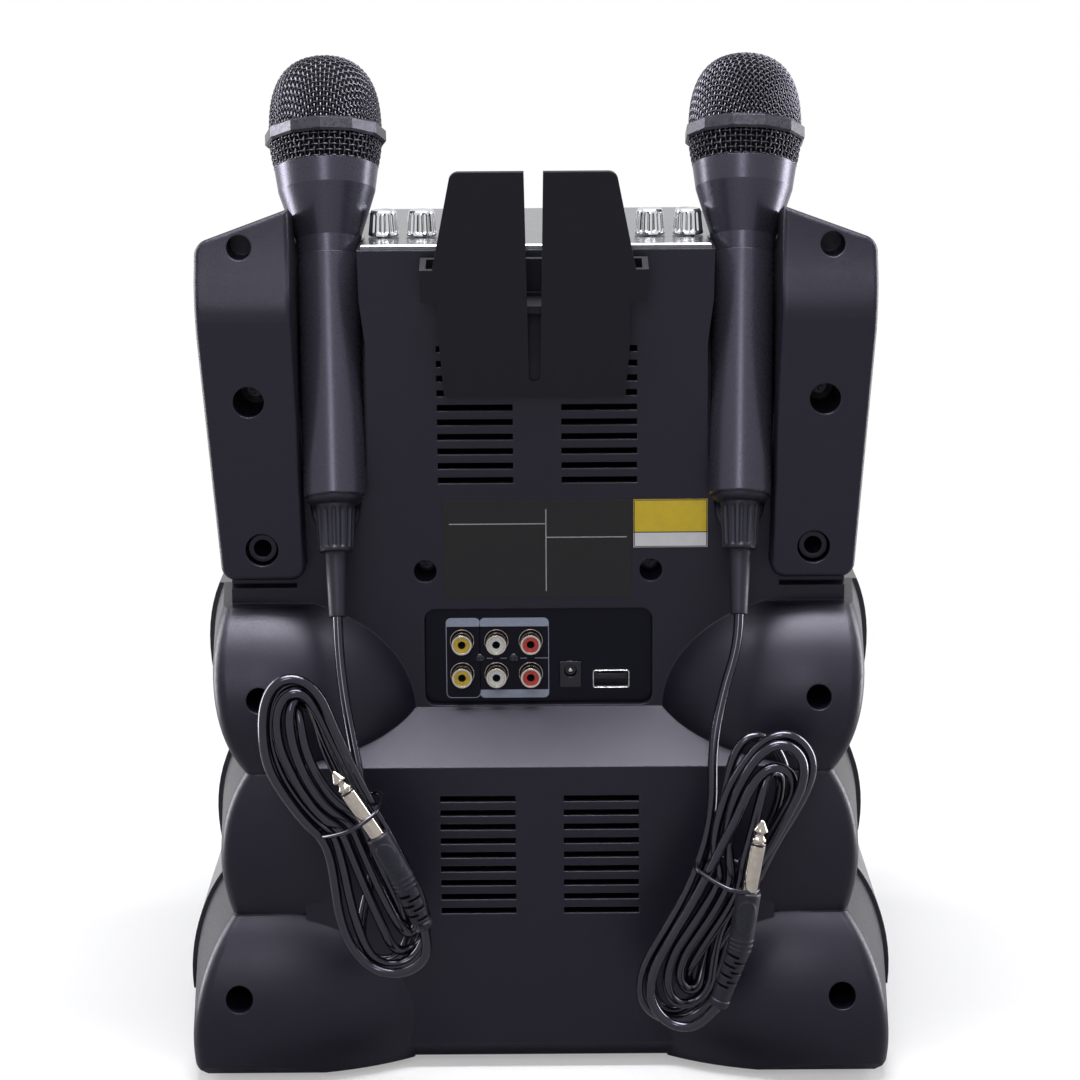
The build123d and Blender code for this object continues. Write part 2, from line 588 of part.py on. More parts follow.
usb_port = box(usb_x - usb_w / 2, usb_x + usb_w / 2, io_board_y + 1.6, panel_y + 0.8, usb_z - usb_h / 2, usb_z + usb_h / 2)
jack_panel -= box(usb_x - usb_w / 2 - 0.1, usb_x + usb_w / 2 + 0.1, 50, 90, usb_z - usb_h / 2 - 0.1, usb_z + usb_h / 2 + 0.1)
usb_port -= box(usb_x - usb_w / 2 + 0.6, usb_x + usb_w / 2 - 0.6, io_board_y + 2.6, 90, usb_z - usb_h / 2 + 0.6, usb_z + usb_h / 2 - 0.6)
usb_port += box(usb_x - 5.6, usb_x + 5.6, io_board_y + 2.6, panel_y - 0.4, usb_z + 0.2, usb_z + 2.1)

mic_sockets = None
for x in (-74.0, 74.0):
    socket = rod_y(x, button_z, 8.0, front_face - 1.6, front_face) + rod_y(x, button_z, 5.5, front_face, front_face + 14)
    socket += rod_y(x, button_z, 8.0, front_face + 2.7, front_face + 22)
    socket -= rod_y(x, button_z, 3.3, -130, front_face + 19)
    mic_sockets = socket if mic_sockets is None else mic_sockets + socket
buttons = []
for x in button_xs:
    button = rod_y(x, button_z, button_r, front_face - 2.2, front_face + 5.4)
    button += rod_y(x, button_z, button_r + 1.5, front_face + wall + 0.2, front_face + wall + 1.4)
    buttons.append(button)

# ---- labels ------------------------------------------------------------------------------------

rating_label = box(-37.8, 38.2, upper_rear_y, upper_rear_y + 0.2, 192.0, 232.2)
stickers = box(-68.4, -38.6, upper_rear_y, upper_rear_y + 0.2, 218.9, 232.4)
stickers += box(-68.4, -38.6, upper_rear_y, upper_rear_y + 0.2, 212.6, 218.6)

# ---- microphones -------------------------------------------------------------------------------

handle = turned([
    (9, 0), (handle_r - 0.6, 0), (handle_r, 0.6), (handle_r, cone_start), (10.6, cone_start), (10.6, 3), (9, 3),
])
head_sleeve_start = cone_start + 0.05
handle += turned([
    (handle_r, head_sleeve_start), (13.1, cone_start + 7), (cone_r, cone_end), (head_r - 0.2, head_start),
    (head_r - 2.4, head_start), (cone_r - 2.2, cone_end - 1), (11.2, cone_start + 6), (10.6, head_sleeve_start),
])
dome = [
    (head_r, head_start), (22.4, 141), (23.0, ring_at), (22.8, 154), (21.8, 162),
    (19.6, 170), (15.6, 176.4), (9.0, 180), (0, head_top),
]
dome_in = [(r - 1.2 if r > 1.2 else 0, s - (1.2 if s > 165 else 0)) for r, s in reversed(dome)]
mic_grille = turned(dome + dome_in)
ring = extrude(Pos(0, 0, ring_at - ring_h / 2) * Rot(0, 0, 15) * RegularPolygon(ring_r, 12), ring_h)
ring = chamfer(ring.edges().group_by(Axis.Z)[0] + ring.edges().group_by(Axis.Z)[-1], 0.9)
mic_ring = ring - turned(dome[:-4] + [(0, 162), (0, head_start)])
mic_strain_relief = turned([
    (0, 0), (9, 0), (9, 3), (10.6, 3), (10.6, 4), (0, 4),
]) + turned([
    (0, -0.0), (11.2, 0), (11.2, -1.6), (9.4, -3), (bushing_r, -3), (6.8, bushing_end),
    (4.6, bushing_end), (relief_r, relief_end), (0, relief_end),
])

cord_from = (mic_plane * Pos(0, 0, relief_end)).position
cord_routes = dict(
    right=[(77.2, 110.5, 163.0), (73.2, 119.0, 144.0), (69.4, 126.0, 127.0)],
    left=[(-72.8, 111.5, 163.0), (-68.0, 119.5, 142.0), (-68.4, 126.5, 117.0)],
)
# Outside of each tied hank as (x, z), clockwise from its top.
hank_outlines = dict(
    right=[
        (96, 174.5), (106, 167), (108.5, 152), (100, 131), (87.5, 111), (84, 92), (80.5, 72),
        (72, 57), (58, 52.5), (45, 57), (42.5, 74), (51, 99), (64.5, 118), (72, 136), (76, 158), (84, 170.5),
    ],
    left=[
        (-88, 152), (-78, 145), (-72, 130), (-66, 112), (-62, 96), (-52, 78), (-41, 60), (-39, 48),
        (-44, 35), (-56, 30.5), (-69, 36), (-78.5, 56), (-85, 86), (-97.5, 103), (-107, 124), (-107, 138), (-100, 149),
    ],
)
hank_y0, hank_y1 = 120.5, 141.0
plug_y = 146.6
plug_lines = dict(
    right=[(80.3, 141.8), (63.6, 118.5), (52.6, 102.0), (45.2, 77.5)],
    left=[(-86.2, 121.2), (-81.2, 92.2), (-77.9, 69.5), (-69.4, 45.0)],
)


def bar(start, end, r0, r1=None):
    """A round or tapered bar between two points."""
    start, end = Vector(*start), Vector(*end)
    along = end - start
    plane = Plane(start, z_dir=along.normalized())
    r1 = r0 if r1 is None else r1
    return plane * turned([(0, 0), (r0, 0), (r1, along.length), (0, along.length)])


def route_length(points):
    return sum((Vector(*b) - Vector(*a)).length for a, b in zip(points, points[1:]))


def cord_tube(points):
    """A round tube along straight runs joined by tangent arcs; prints the arc radii."""
    radii = []
    for before_point, here, after_point in zip(points, points[1:], points[2:]):
        one = Vector(*here) - Vector(*before_point)
        two = Vector(*after_point) - Vector(*here)
        half_turn = radians(one.get_angle(two)) / 2
        radii.append(0.45 * min(one.length, two.length) / tan(half_turn))
    print("cord arc radii", [round(r, 1) for r in radii], "length", round(route_length(points), 1))
    path = FilletPolyline(*points, radius=radii)
    start = Plane(path @ 0, z_dir=path % 0)
    return sweep(start * Circle(cord_d / 2), path)


cord_lead = (mic_plane * Pos(0, 0, relief_end - 12)).position

for side, sign in (("right", 1), ("left", -1)):
    place = (lambda part: part) if sign == 1 else (lambda part: mirror(part, Plane.YZ))
    save(f"mic_handle_{side}", place(mic_plane * handle))
    save(f"mic_grille_{side}", place(mic_plane * mic_grille))
    save(f"mic_ring_{side}", place(mic_plane * Rot(0, 0, 15 if side == "right" else 0) * mic_ring))
    save(f"mic_strain_relief_{side}", place(mic_plane * mic_strain_relief))
    start = (sign * cord_from.X, cord_from.Y, cord_from.Z)
    lead = (sign * cord_lead.X, cord_lead.Y, cord_lead.Z)
    save(f"mic_cord_{side}", cord_tube([start, lead] + cord_routes[side]))
    outline = make_face(Spline(*hank_outlines[side], periodic=True))
    hank_plane = Plane((0, hank_y1, 0), x_dir=(1, 0, 0), z_dir=(0, -1, 0))
    save(f"mic_hank_{side}", extrude(hank_plane * outline, hank_y1 - hank_y0))
    tip, shaft_end, barrel_end, boot_end = [(x, plug_y, z) for x, z in plug_lines[side]]
    plug = bar(tip, shaft_end, 3.17)
    save(f"mic_plug_{side}", plug)
    inside = tuple(b - 0.06 * (b - a) for a, b in zip(shaft_end, barrel_end))
    save(f"mic_plug_boot_{side}", bar(shaft_end, barrel_end, 5.2) + bar(inside, boot_end, 4.7, 3.4))

save("rear_cover", rear_cover)
save("front_shell", front_shell)
save("base_plate", base_plate)
save("feet", feet)
save("top_panel", top_panel)
for number, knob in enumerate(knobs, 1):
    save(f"knob_{number}", knob)
save("cradle", cradle)
save("cradle_rail", cradle_rail)
save("screen_bezel", screen_bezel)
save("screen_window", screen_window)
save("lcd_module", lcd_module)
save("disc_tray", disc_tray)
save("tray_door", tray_door)
save("tray_gear", tray_gear)
save("drive_chassis", drive_chassis)
save("spindle", spindle)
save("laser_sled", laser_sled)
save("disc_clamp", disc_clamp)
for number, button in enumerate(buttons, 1):
    save(f"button_{number}", button)
save("woofer_frame", woofer_frame)
save("woofer_cone", woofer_cone)
save("speaker_grille", speaker_grille)
save("light_lenses", light_lenses)
save("circuit_boards", main_board)
save("jack_panel", jack_panel)
save("rca_sleeves", rca_sleeves)
for colour, core in zip(("yellow", "white", "red"), rca_cores):
    save(f"rca_{colour}", core)
save("dc_jack", dc_jack)
save("usb_port", usb_port)
save("mic_sockets", mic_sockets)
save("rear_screws", both(screws))
save("rating_label", rating_label)
save("stickers", stickers)
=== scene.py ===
import math

import bpy
import numpy as np
from mathutils import Matrix, Vector


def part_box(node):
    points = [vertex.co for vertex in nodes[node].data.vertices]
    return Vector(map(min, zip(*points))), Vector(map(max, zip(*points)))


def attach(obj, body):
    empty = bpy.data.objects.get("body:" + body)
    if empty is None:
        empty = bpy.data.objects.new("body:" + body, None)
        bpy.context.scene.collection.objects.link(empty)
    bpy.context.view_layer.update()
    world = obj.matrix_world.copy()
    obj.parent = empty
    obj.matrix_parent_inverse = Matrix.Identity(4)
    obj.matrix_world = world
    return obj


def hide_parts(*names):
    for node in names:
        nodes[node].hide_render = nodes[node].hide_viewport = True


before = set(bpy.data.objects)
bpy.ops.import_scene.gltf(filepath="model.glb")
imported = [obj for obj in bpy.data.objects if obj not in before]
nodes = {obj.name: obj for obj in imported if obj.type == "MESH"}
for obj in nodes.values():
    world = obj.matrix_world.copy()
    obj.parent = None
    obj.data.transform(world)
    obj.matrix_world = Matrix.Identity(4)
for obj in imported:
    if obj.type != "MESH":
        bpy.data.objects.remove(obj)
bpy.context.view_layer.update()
mm = 0.001
print("frame loaded:", len(nodes), "nodes")


def hexColour(code):
    # sRGB hex to linear, by the sRGB curve on each channel
    channels = np.array([int(code[i:i + 2], 16) for i in (1, 3, 5)]) / 255.0
    linear = np.where(channels <= 0.04045, channels / 12.92, ((channels + 0.055) / 1.055) ** 2.4)
    return tuple(linear.tolist()) + (1.0,)


def addNode(tree, kind, inputs=None, **settings):
    # one node with its settings; an input is a value or another node's output
    node = tree.nodes.new(kind)
    for name, value in settings.items():
        setattr(node, name, value)
    for name, value in (inputs or {}).items():
        if isinstance(value, bpy.types.NodeSocket):
            tree.links.new(value, node.inputs[name])
        else:
            node.inputs[name].default_value = value
    return node


def newMaterial(name, sockets):
    # a principled material with the given sockets set
    material = bpy.data.materials.new(name)
    material.use_nodes = True
    shader = material.node_tree.nodes["Principled BSDF"]
    for socket, value in sockets.items():
        shader.inputs[socket].default_value = value
    return material, material.node_tree, shader


def newObject(name, data):
    # an object that holds the data, put in the scene
    thing = bpy.data.objects.new(name, data)
    bpy.context.scene.collection.objects.link(thing)
    return thing


# sizes of patterns and depths are in mm: mottle is the size of its patches and two colours, haze is the size
# of its patches and the two roughnesses, grains are (size, depth), edge is the radius that catches the light
# paintedEdgeHighlight is a lighter colour painted along a finish's edges: a painted highlight
finishes = {
    # ABS moulded in a spark-eroded tool: dull blue-black, a grain that breaks up every highlight.
    # The real grain is 0.2 mm, drawn at 0.6 so that it shows
    "sparkedAbs": {
        "sockets": {"IOR": 1.54, "Specular IOR Level": 0.24, "Specular Tint": hexColour("#f0edff")},
        "mottle": (14.0, "#0a0914", "#0f0d1a"), "haze": (0.6, 0.32, 0.48),
        # edges painted lighter: a painted highlight
        "grains": [(0.6, 0.028), (1.7, 0.02)], "edge": 0.8, "paintedEdgeHighlight": "#32303a",
    },
    # ABS polished in the tool: piano black with the faint ripple that moulding leaves
    "polishedAbs": {
        "sockets": {"IOR": 1.54, "Specular IOR Level": 0.3, "Specular Tint": hexColour("#f0edff")},
        "mottle": (20.0, "#09090f", "#0c0c13"), "haze": (25.0, 0.15, 0.20), "grains": [(30.0, 0.01)],
        "edge": 0.7,
    },
    # ABS from a blasted tool: finer and duller than the cover
    "blastedAbs": {
        "sockets": {"IOR": 1.5, "Specular IOR Level": 0.2, "Specular Tint": hexColour("#ebe8ff")},
        "mottle": (9.0, "#0f0f13", "#141419"), "haze": (0.5, 0.50, 0.62), "grains": [(0.5, 0.02)],
        # edges painted lighter: a painted highlight
        "edge": 0.35, "paintedEdgeHighlight": "#2a2a2e",
    },
    # ABS pressed smooth for the socket plate: the darkest plastic on the back, almost no sheen
    "smoothAbs": {
        "sockets": {"IOR": 1.5, "Specular IOR Level": 0.13, "Specular Tint": hexColour("#dcd8ff")},
        # edges painted lighter: a painted highlight
        "mottle": (9.0, "#09090f", "#0d0d14"), "haze": (8.0, 0.34, 0.42), "edge": 0.35, "paintedEdgeHighlight": "#26262d",
    },
    # grey ABS of the disc drive: satin, flow marks across it
    "satinAbs": {
        "sockets": {"IOR": 1.54}, "mottle": (8.0, "#29292d", "#2f2f33"), "haze": (0.8, 0.34, 0.48),
        "grains": [(0.5, 0.015)], "edge": 0.3,
    },
    # anodised aluminium, brushed from side to side: the strokes stretch every reflection
    "brushedAluminium": {
        "sockets": {"Metallic": 1.0}, "mottle": (12.0, "#56575d", "#67686e"), "haze": (6.0, 0.18, 0.32),
        "stretch": (1, 28, 28), "grains": [(6.0, 0.006)], "edge": 0.2,
    },
    # chrome plated on ABS: a bright mirror, its polish only just broken
    "platedChrome": {
        "sockets": {"Metallic": 1.0}, "mottle": (3.0, "#c9cacd", "#d6d7da"), "haze": (2.0, 0.05, 0.14),
        "edge": 0.15,
    },
    # nickel plated on turned brass: warmer and softer than chrome
    "platedNickel": {
        "sockets": {"Metallic": 1.0}, "mottle": (2.0, "#8f8780", "#b4ada5"), "haze": (0.8, 0.07, 0.16),
        "grains": [(0.8, 0.002)], "edge": 0.15,
    },
    # steel wire and screws blackened in oil: a dark shine, patchy
    "blackenedSteel": {
        "sockets": {"Metallic": 1.0}, "mottle": (1.6, "#2f2e34", "#434249"), "haze": (1.2, 0.26, 0.44),
        "edge": 0.2,
    },
    # sheet steel punched and powder coated: black and pebbled
    "coatedSteel": {
        "sockets": {"IOR": 1.5}, "mottle": (3.0, "#131316", "#19191c"), "haze": (0.9, 0.42, 0.58),
        "grains": [(0.9, 0.03)], "edge": 0.2,
    },
    # sheet steel, stamped and tinned: bright with drawn marks
    "tinnedSteel": {
        "sockets": {"Metallic": 1.0}, "mottle": (1.2, "#b6b7ba", "#cacbce"), "haze": (0.8, 0.20, 0.36),
        "edge": 0.15,
    },
    # metallic lacquer sprayed on a die-cast handle: gunmetal, the flake sparkles a little
    "sprayedGunmetal": {
        "sockets": {
            "Metallic": 0.35, "IOR": 1.5, "Specular IOR Level": 0.4, "Specular Tint": hexColour("#ebe8ff"),
        },
        "mottle": (0.5, "#2c2b34", "#3b3a45"), "haze": (0.8, 0.24, 0.34), "grains": [(0.5, 0.006)],
        "edge": 0.3,
    },
    # open-cell foam behind the wire: holes that swallow light; the same black is painted shade in the bores
    # of the phono sockets
    "foamAndShadeBlack": {
        "sockets": {"Specular IOR Level": 0.1}, "mottle": (0.9, "#060607", "#111113"),
        "haze": (0.9, 0.88, 1.0), "grains": [(0.7, 0.15)],
    },
    # PVC drawn over the cord: smooth and slightly oily, one long highlight
    "drawnPvc": {
        "sockets": {"IOR": 1.53, "Specular IOR Level": 0.5, "Specular Tint": hexColour("#e9e6ff")},
        "mottle": (20.0, "#07070d", "#0b0b12"), "haze": (6.0, 0.12, 0.20),
    },
    # soft PVC moulded over the plug and the cord's exit: matt, with a fine bloom
    "mouldedPvc": {
        "sockets": {"IOR": 1.5, "Specular IOR Level": 0.3, "Specular Tint": hexColour("#e9e6ff")},
        "mottle": (5.0, "#101016", "#17171f"), "haze": (0.7, 0.40, 0.54), "grains": [(0.6, 0.015)],
        # edges painted lighter: a painted highlight
        "edge": 0.2, "paintedEdgeHighlight": "#2c2c32",
    },
    # acrylic tinted through and polished, over the screen
    "smokedAcrylic": {
        "sockets": {"IOR": 1.49}, "mottle": (40.0, "#060709", "#090a0c"), "haze": (6.0, 0.04, 0.09),
        "edge": 0.3,
    },
    # paper pulp pressed to a cone: fibres on a dull face
    "pressedPulp": {
        "sockets": {"Specular IOR Level": 0.3}, "mottle": (1.4, "#151414", "#201f1f"),
        "haze": (1.0, 0.7, 0.9), "grains": [(1.0, 0.06)], "edge": 0.4,
    },
    # polycarbonate frosted for the side lights: milky and even
    "frostedPolycarbonate": {
        "sockets": {"IOR": 1.58, "Subsurface Weight": 0.3}, "mottle": (12.0, "#ced1d6", "#dadde1"),
        "haze": (2.0, 0.26, 0.40), "grains": [(2.0, 0.03)], "edge": 0.5,
    },
    # solder mask over etched copper: green, the tracks faintly raised
    "solderMask": {
        "sockets": {"IOR": 1.5}, "mottle": (4.0, "#174022", "#23542f"), "haze": (1.5, 0.28, 0.44),
        "grains": [(4.0, 0.03)], "edge": 0.2,
    },
    # polyester film laid on the cover: flat and a shade glossier than the grain round it
    "blackFilm": {
        "sockets": {"IOR": 1.5, "Specular IOR Level": 0.24}, "mottle": (5.0, "#0a0a0e", "#0f0f13"),
        "haze": (4.0, 0.28, 0.40), "edge": 0.1,
    },
}
# nylon inserts that colour-code the sockets: glossy, a little cloudy
for name, low, high in (
    ("yellowNylon", "#a88a08", "#c4a512"),
    ("whiteNylon", "#b9b9b8", "#cfcfce"),
    ("redNylon", "#9c0f0c", "#b81a14"),
):
    finishes[name] = {
        "sockets": {"IOR": 1.53}, "mottle": (1.5, low, high), "haze": (1.0, 0.24, 0.38), "edge": 0.2,
    }
# ink screen-printed on ABS: the cover slightly uneven
for name, low, high in (
    ("paleInk", "#848ba2", "#9ea5bb"),
    ("greyInk", "#8e8f96", "#a9aab0"),
    ("blackInk", "#0c0c0e", "#15151a"),
):
    finishes[name] = {"sockets": {"IOR": 1.5}, "mottle": (0.9, low, high), "haze": (0.9, 0.42, 0.58)}


def makeFinish(name, finish):
    # colour and roughness each follow a noise between two values; a grain is a noise raised by its depth
    material, tree, shader = newMaterial(name, finish["sockets"])
    place = addNode(tree, "ShaderNodeMapping", {
        "Vector": addNode(tree, "ShaderNodeTexCoord").outputs["Object"],
        "Scale": finish.get("stretch", (1, 1, 1)),
    })
    grains = finish.get("grains", [])
    sizes = [finish["mottle"][0], finish["haze"][0]] + [size for size, depth in grains]
    patches, haze, *heights = [
        addNode(tree, "ShaderNodeTexNoise", {
            "Vector": place.outputs["Vector"], "Scale": 1 / (size * mm), "Detail": 2.0 if k else 3.0,
            "Roughness": 0.6,
        }).outputs["Fac"]
        for k, size in enumerate(sizes)
    ]
    colour = addNode(tree, "ShaderNodeMix", {
        "Factor": patches, 6: hexColour(finish["mottle"][1]), 7: hexColour(finish["mottle"][2]),
    }, data_type="RGBA").outputs[2]
    roughness = addNode(tree, "ShaderNodeMapRange", {
        "Value": haze, "From Min": 0.3, "From Max": 0.7,
        "To Min": finish["haze"][1], "To Max": finish["haze"][2],
    })
    tree.links.new(roughness.outputs["Result"], shader.inputs["Roughness"])
    normal = None
    if "edge" in finish:
        bevel = addNode(tree, "ShaderNodeBevel", {"Radius": finish["edge"] * mm}, samples=4)
        normal = bevel.outputs["Normal"]
        if "paintedEdgeHighlight" in finish:
            # painted highlight: edges, where the rounded normal leaves the face's own, are painted a lighter
            # colour
            geometry = addNode(tree, "ShaderNodeNewGeometry")
            facing = addNode(tree, "ShaderNodeVectorMath", {
                0: normal, 1: geometry.outputs["Normal"],
            }, operation="DOT_PRODUCT")
            edgeHighlightShare = addNode(tree, "ShaderNodeMapRange", {
                "Value": facing.outputs["Value"],
                "From Min": 1.0, "From Max": 0.88, "To Min": 0.0, "To Max": 0.7,
            })
            colour = addNode(tree, "ShaderNodeMix", {
                "Factor": edgeHighlightShare.outputs["Result"], 6: colour, 7: hexColour(finish["paintedEdgeHighlight"]),
            }, data_type="RGBA").outputs[2]
    tree.links.new(colour, shader.inputs["Base Color"])
    for height, (size, depth) in zip(heights, grains):
        bump = addNode(tree, "ShaderNodeBump", {"Height": height, "Distance": depth * mm, "Strength": 1.0})
        if normal:
            tree.links.new(normal, bump.inputs["Normal"])
        normal = bump.outputs["Normal"]
    if normal:
        tree.links.new(normal, shader.inputs["Normal"])
    return material


sticker = {
    "yellow": ("#bda018", "#d3b820"), "white": ("#c4c4c8", "#d6d6da"), "divide": 218.9, "patch": 4.0,
    "haze": 0.4, "inset": 0.35, "lineWidth": 0.32, "lineHeight": 0.03,
}


def makeStickerFilm():
    # polyester film printed in two flats of colour: yellow above the dividing height, white below it
    material, tree, shader = newMaterial("printedFilm", {"Roughness": sticker["haze"]})
    coordinates = addNode(tree, "ShaderNodeTexCoord")
    patches = addNode(tree, "ShaderNodeTexNoise", {
        "Vector": coordinates.outputs["Object"], "Scale": 1 / (sticker["patch"] * mm), "Detail": 3.0,
    }).outputs["Fac"]
    flats = [
        addNode(tree, "ShaderNodeMix", {
            "Factor": patches, 6: hexColour(sticker[flat][0]), 7: hexColour(sticker[flat][1]),
        }, data_type="RGBA").outputs[2]
        for flat in ("white", "yellow")
    ]
    heights = addNode(tree, "ShaderNodeSeparateXYZ", {"Vector": coordinates.outputs["Object"]})
    above = addNode(tree, "ShaderNodeMath", {
        0: heights.outputs["Z"], 1: sticker["divide"] * mm,
    }, operation="GREATER_THAN")
    colour = addNode(tree, "ShaderNodeMix", {
        "Factor": above.outputs["Value"], 6: flats[0], 7: flats[1],
    }, data_type="RGBA")
    tree.links.new(colour.outputs[2], shader.inputs["Base Color"])
    return material


look = {name: makeFinish(name, finish) for name, finish in finishes.items()}
look["printedFilm"] = makeStickerFilm()
print("materials made:", len(look))

nodeFinishes = {
    "sparkedAbs": ["rear_cover"],
    "polishedAbs": [
        "front_shell", "screen_bezel", "tray_door", "button_1", "button_2", "button_3", "button_4", "dc_jack",
    ],
    "blastedAbs": ["cradle", "cradle_rail", "base_plate"],
    "smoothAbs": ["jack_panel"],
    "satinAbs": [
        "disc_tray", "drive_chassis", "spindle", "laser_sled", "disc_clamp", "lcd_module", "tray_gear",
    ],
    "brushedAluminium": ["top_panel"],
    "platedNickel": ["rca_sleeves", "mic_sockets"],
    "blackenedSteel": ["rear_screws", "mic_ring_right", "mic_ring_left"],
    "coatedSteel": ["speaker_grille", "woofer_frame"],
    "sprayedGunmetal": ["mic_handle_left", "mic_handle_right"],
    "mouldedPvc": ["feet"],
    "smokedAcrylic": ["screen_window"],
    "pressedPulp": ["woofer_cone"],
    "frostedPolycarbonate": ["light_lenses"],
    "solderMask": ["circuit_boards"],
    "yellowNylon": ["rca_yellow"],
    "whiteNylon": ["rca_white"],
    "redNylon": ["rca_red"],
    "blackFilm": ["rating_label"],
    "printedFilm": ["stickers"],
}
for name, members in nodeFinishes.items():
    for member in members:
        nodes[member].data.materials.clear()
        nodes[member].data.materials.append(look[name])


def gridFaces(rows, columns, wrapRows=False, flip=False):
    # quads of a grid of points numbered row by row, where each row closes on itself
    i = np.arange(rows if wrapRows else rows - 1)[:, None]
    j = np.arange(columns)[None, :]
    ni, nj = (i + 1) % rows, (j + 1) % columns
    quads = np.stack([i * columns + j, i * columns + nj, ni * columns + nj, ni * columns + j], axis=-1)
    quads = quads.reshape(-1, 4)
    return quads[:, ::-1] if flip else quads


def endCaps(rows, columns, flip=False):
    # the first and last rings closed by one face each, both facing outwards
    first, last = list(range(columns)), list(range((rows - 1) * columns, rows * columns))
    return [first, last[::-1]] if flip else [first[::-1], last]


creaseAngle = 38  # degrees


def meshPiece(name, points, faces, material, body, replaces=(), smooth=True, caps=()):
    # a grid of points and its faces as a finished piece, sharp where faces meet at over the crease angle
    mesh = bpy.data.meshes.new(name)
    mesh.from_pydata(points.reshape(-1, 3).tolist(), [], faces.tolist() + list(caps))
    mesh.polygons.foreach_set("use_smooth", np.full(len(mesh.polygons), smooth))
    mesh.set_sharp_from_angle(angle=math.radians(creaseAngle))
    mesh.materials.append(material)
    piece = newObject(name, mesh)
    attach(piece, body)
    if replaces:
        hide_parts(*replaces)
    return piece


def sweptTube(path, radius, sides, closed=False):
    # circle of the given radius carried along a path, its two axes kept square to the path
    path = np.asarray(path, float)
    if closed:
        along = np.roll(path, -1, axis=0) - np.roll(path, 1, axis=0)
    else:
        along = np.gradient(path, axis=0)
    along /= np.linalg.norm(along, axis=1)[:, None]
    side = np.cross(along, (0.31, 0.17, 0.93))
    side /= np.linalg.norm(side, axis=1)[:, None]
    other = np.cross(along, side)
    angle = np.linspace(0, 2 * math.pi, sides, endpoint=False)
    ring = np.cos(angle)[None, :, None] * side[:, None] + np.sin(angle)[None, :, None] * other[:, None]
    return path[:, None] + np.broadcast_to(radius, (len(path),))[:, None, None] * ring


microphone = {
    "foot": (80.9, 82.0, 236.0),
    "axis": (0.028, -math.sin(math.radians(21)), math.cos(math.radians(21))),
    "headWidest": 23.0, "headWidestAt": 147.5, "headHeight": 33.2, "headSquareness": 2.65,
    "bandLow": 134.9, "bandHigh": 145.0, "neckAt": 134.5, "neckIn": 1.8,
    "wirePitch": 2.2, "wireRadius": 0.34, "wireSides": 5, "weaveLift": 0.36, "uprights": 66,
    "clothTurn": {"right": 0, "left": 38}, "foamGap": 1.5,
}


def microphonePlaces(side, r, angle, s):
    # cylinder coordinates about the handle's axis to the row frame, in metres; side is +1 or -1
    axis = np.array(microphone["axis"])
    axis = axis / np.linalg.norm(axis)
    across = np.cross((0, 1, 0), axis)
    across /= np.linalg.norm(across)
    rearward = np.cross(axis, across)
    r, angle, s = np.broadcast_arrays(r, angle, s)
    places = np.array(microphone["foot"]) + (r * np.cos(angle))[..., None] * across
    places = places + (r * np.sin(angle))[..., None] * rearward + s[..., None] * axis
    places[..., 0] *= side
    return places * mm


def domeProfile():
    # superellipse: r = R sin(t)^(2/n), s = s0 + H cos(t)^(2/n), with arc length from the pole
    power = 2 / microphone["headSquareness"]
    t = np.linspace(0, math.pi / 2, 900)
    r = microphone["headWidest"] * np.sin(t) ** power
    s = microphone["headWidestAt"] + microphone["headHeight"] * np.cos(t) ** power
    arc = np.concatenate([[0], np.cumsum(np.hypot(np.diff(r), np.diff(s)))])
    return arc, r, s


def bandRadius(s):
    # the lower part of the head narrows from the ring to the handle along a quarter sine
    share = (microphone["headWidestAt"] - s) / (microphone["headWidestAt"] - microphone["neckAt"])
    return microphone["headWidest"] - microphone["neckIn"] * (1 - np.cos(share * math.pi / 2))


def wireHead(side, turn):
    # plain weave: a tube along each wire, lifted by a cosine that changes sign at every crossing
    arc, rTable, sTable = domeProfile()
    reach = arc[-1]
    pitch, lift = microphone["wirePitch"], microphone["weaveLift"]
    radius, sides, uprights = microphone["wireRadius"], microphone["wireSides"], microphone["uprights"]
    rings, faces, offset = [], [], 0

    def addWire(path, closed=False):
        # one wire joined to the mesh, its faces numbered after the points already there
        nonlocal offset
        tube = sweptTube(path, radius * mm, sides, closed)
        rings.append(tube.reshape(-1, 3))
        faces.append(gridFaces(len(path), sides, wrapRows=closed) + offset)
        offset += tube.shape[0] * sides

    # cloth on the dome: a flat square grid laid from the pole, distance kept along the profile,
    # each wire lifted over and under the ones it crosses by a cosine
    count = int(reach / pitch)
    for k in range(-count, count + 1):
        fixed = k * pitch
        half = math.sqrt(max(reach ** 2 - fixed ** 2, 0))
        if half < pitch:
            continue
        free = np.linspace(-half, half, max(int(2 * half / pitch * 4), 6))
        for a, b, sign in ((np.full_like(free, fixed), free, 1), (free, np.full_like(free, fixed), -1)):
            away = np.hypot(a, b)
            r = np.interp(away, arc, rTable)
            s = np.interp(away, arc, sTable)
            wave = sign * lift * np.cos(math.pi * (free / pitch + k))
            slope = np.clip(away / reach, 0, 1)
            r = r + (wave - radius - lift) * slope
            s = s + (wave - radius - lift) * (1 - slope)
            addWire(microphonePlaces(side, np.maximum(r, 0), np.arctan2(b, a) + turn, s))

    # cloth below the ring: upright wires and hoops
    low, high = microphone["bandLow"], microphone["bandHigh"]
    s = np.linspace(low, high, 20)
    for k in range(uprights):
        wave = lift * np.cos(math.pi * ((s - low) / pitch + k))
        addWire(microphonePlaces(side, bandRadius(s) + wave - radius - lift, 2 * math.pi * k / uprights, s))
    angle = np.linspace(0, 2 * math.pi, uprights * 4, endpoint=False)
    for k in range(int((high - low) / pitch) + 1):
        height = low + k * pitch
        wave = -lift * np.cos(math.pi * (angle / (2 * math.pi) * uprights + k))
        addWire(microphonePlaces(side, bandRadius(height) + wave - radius - lift, angle, height), closed=True)
    return np.concatenate(rings), np.concatenate(faces)


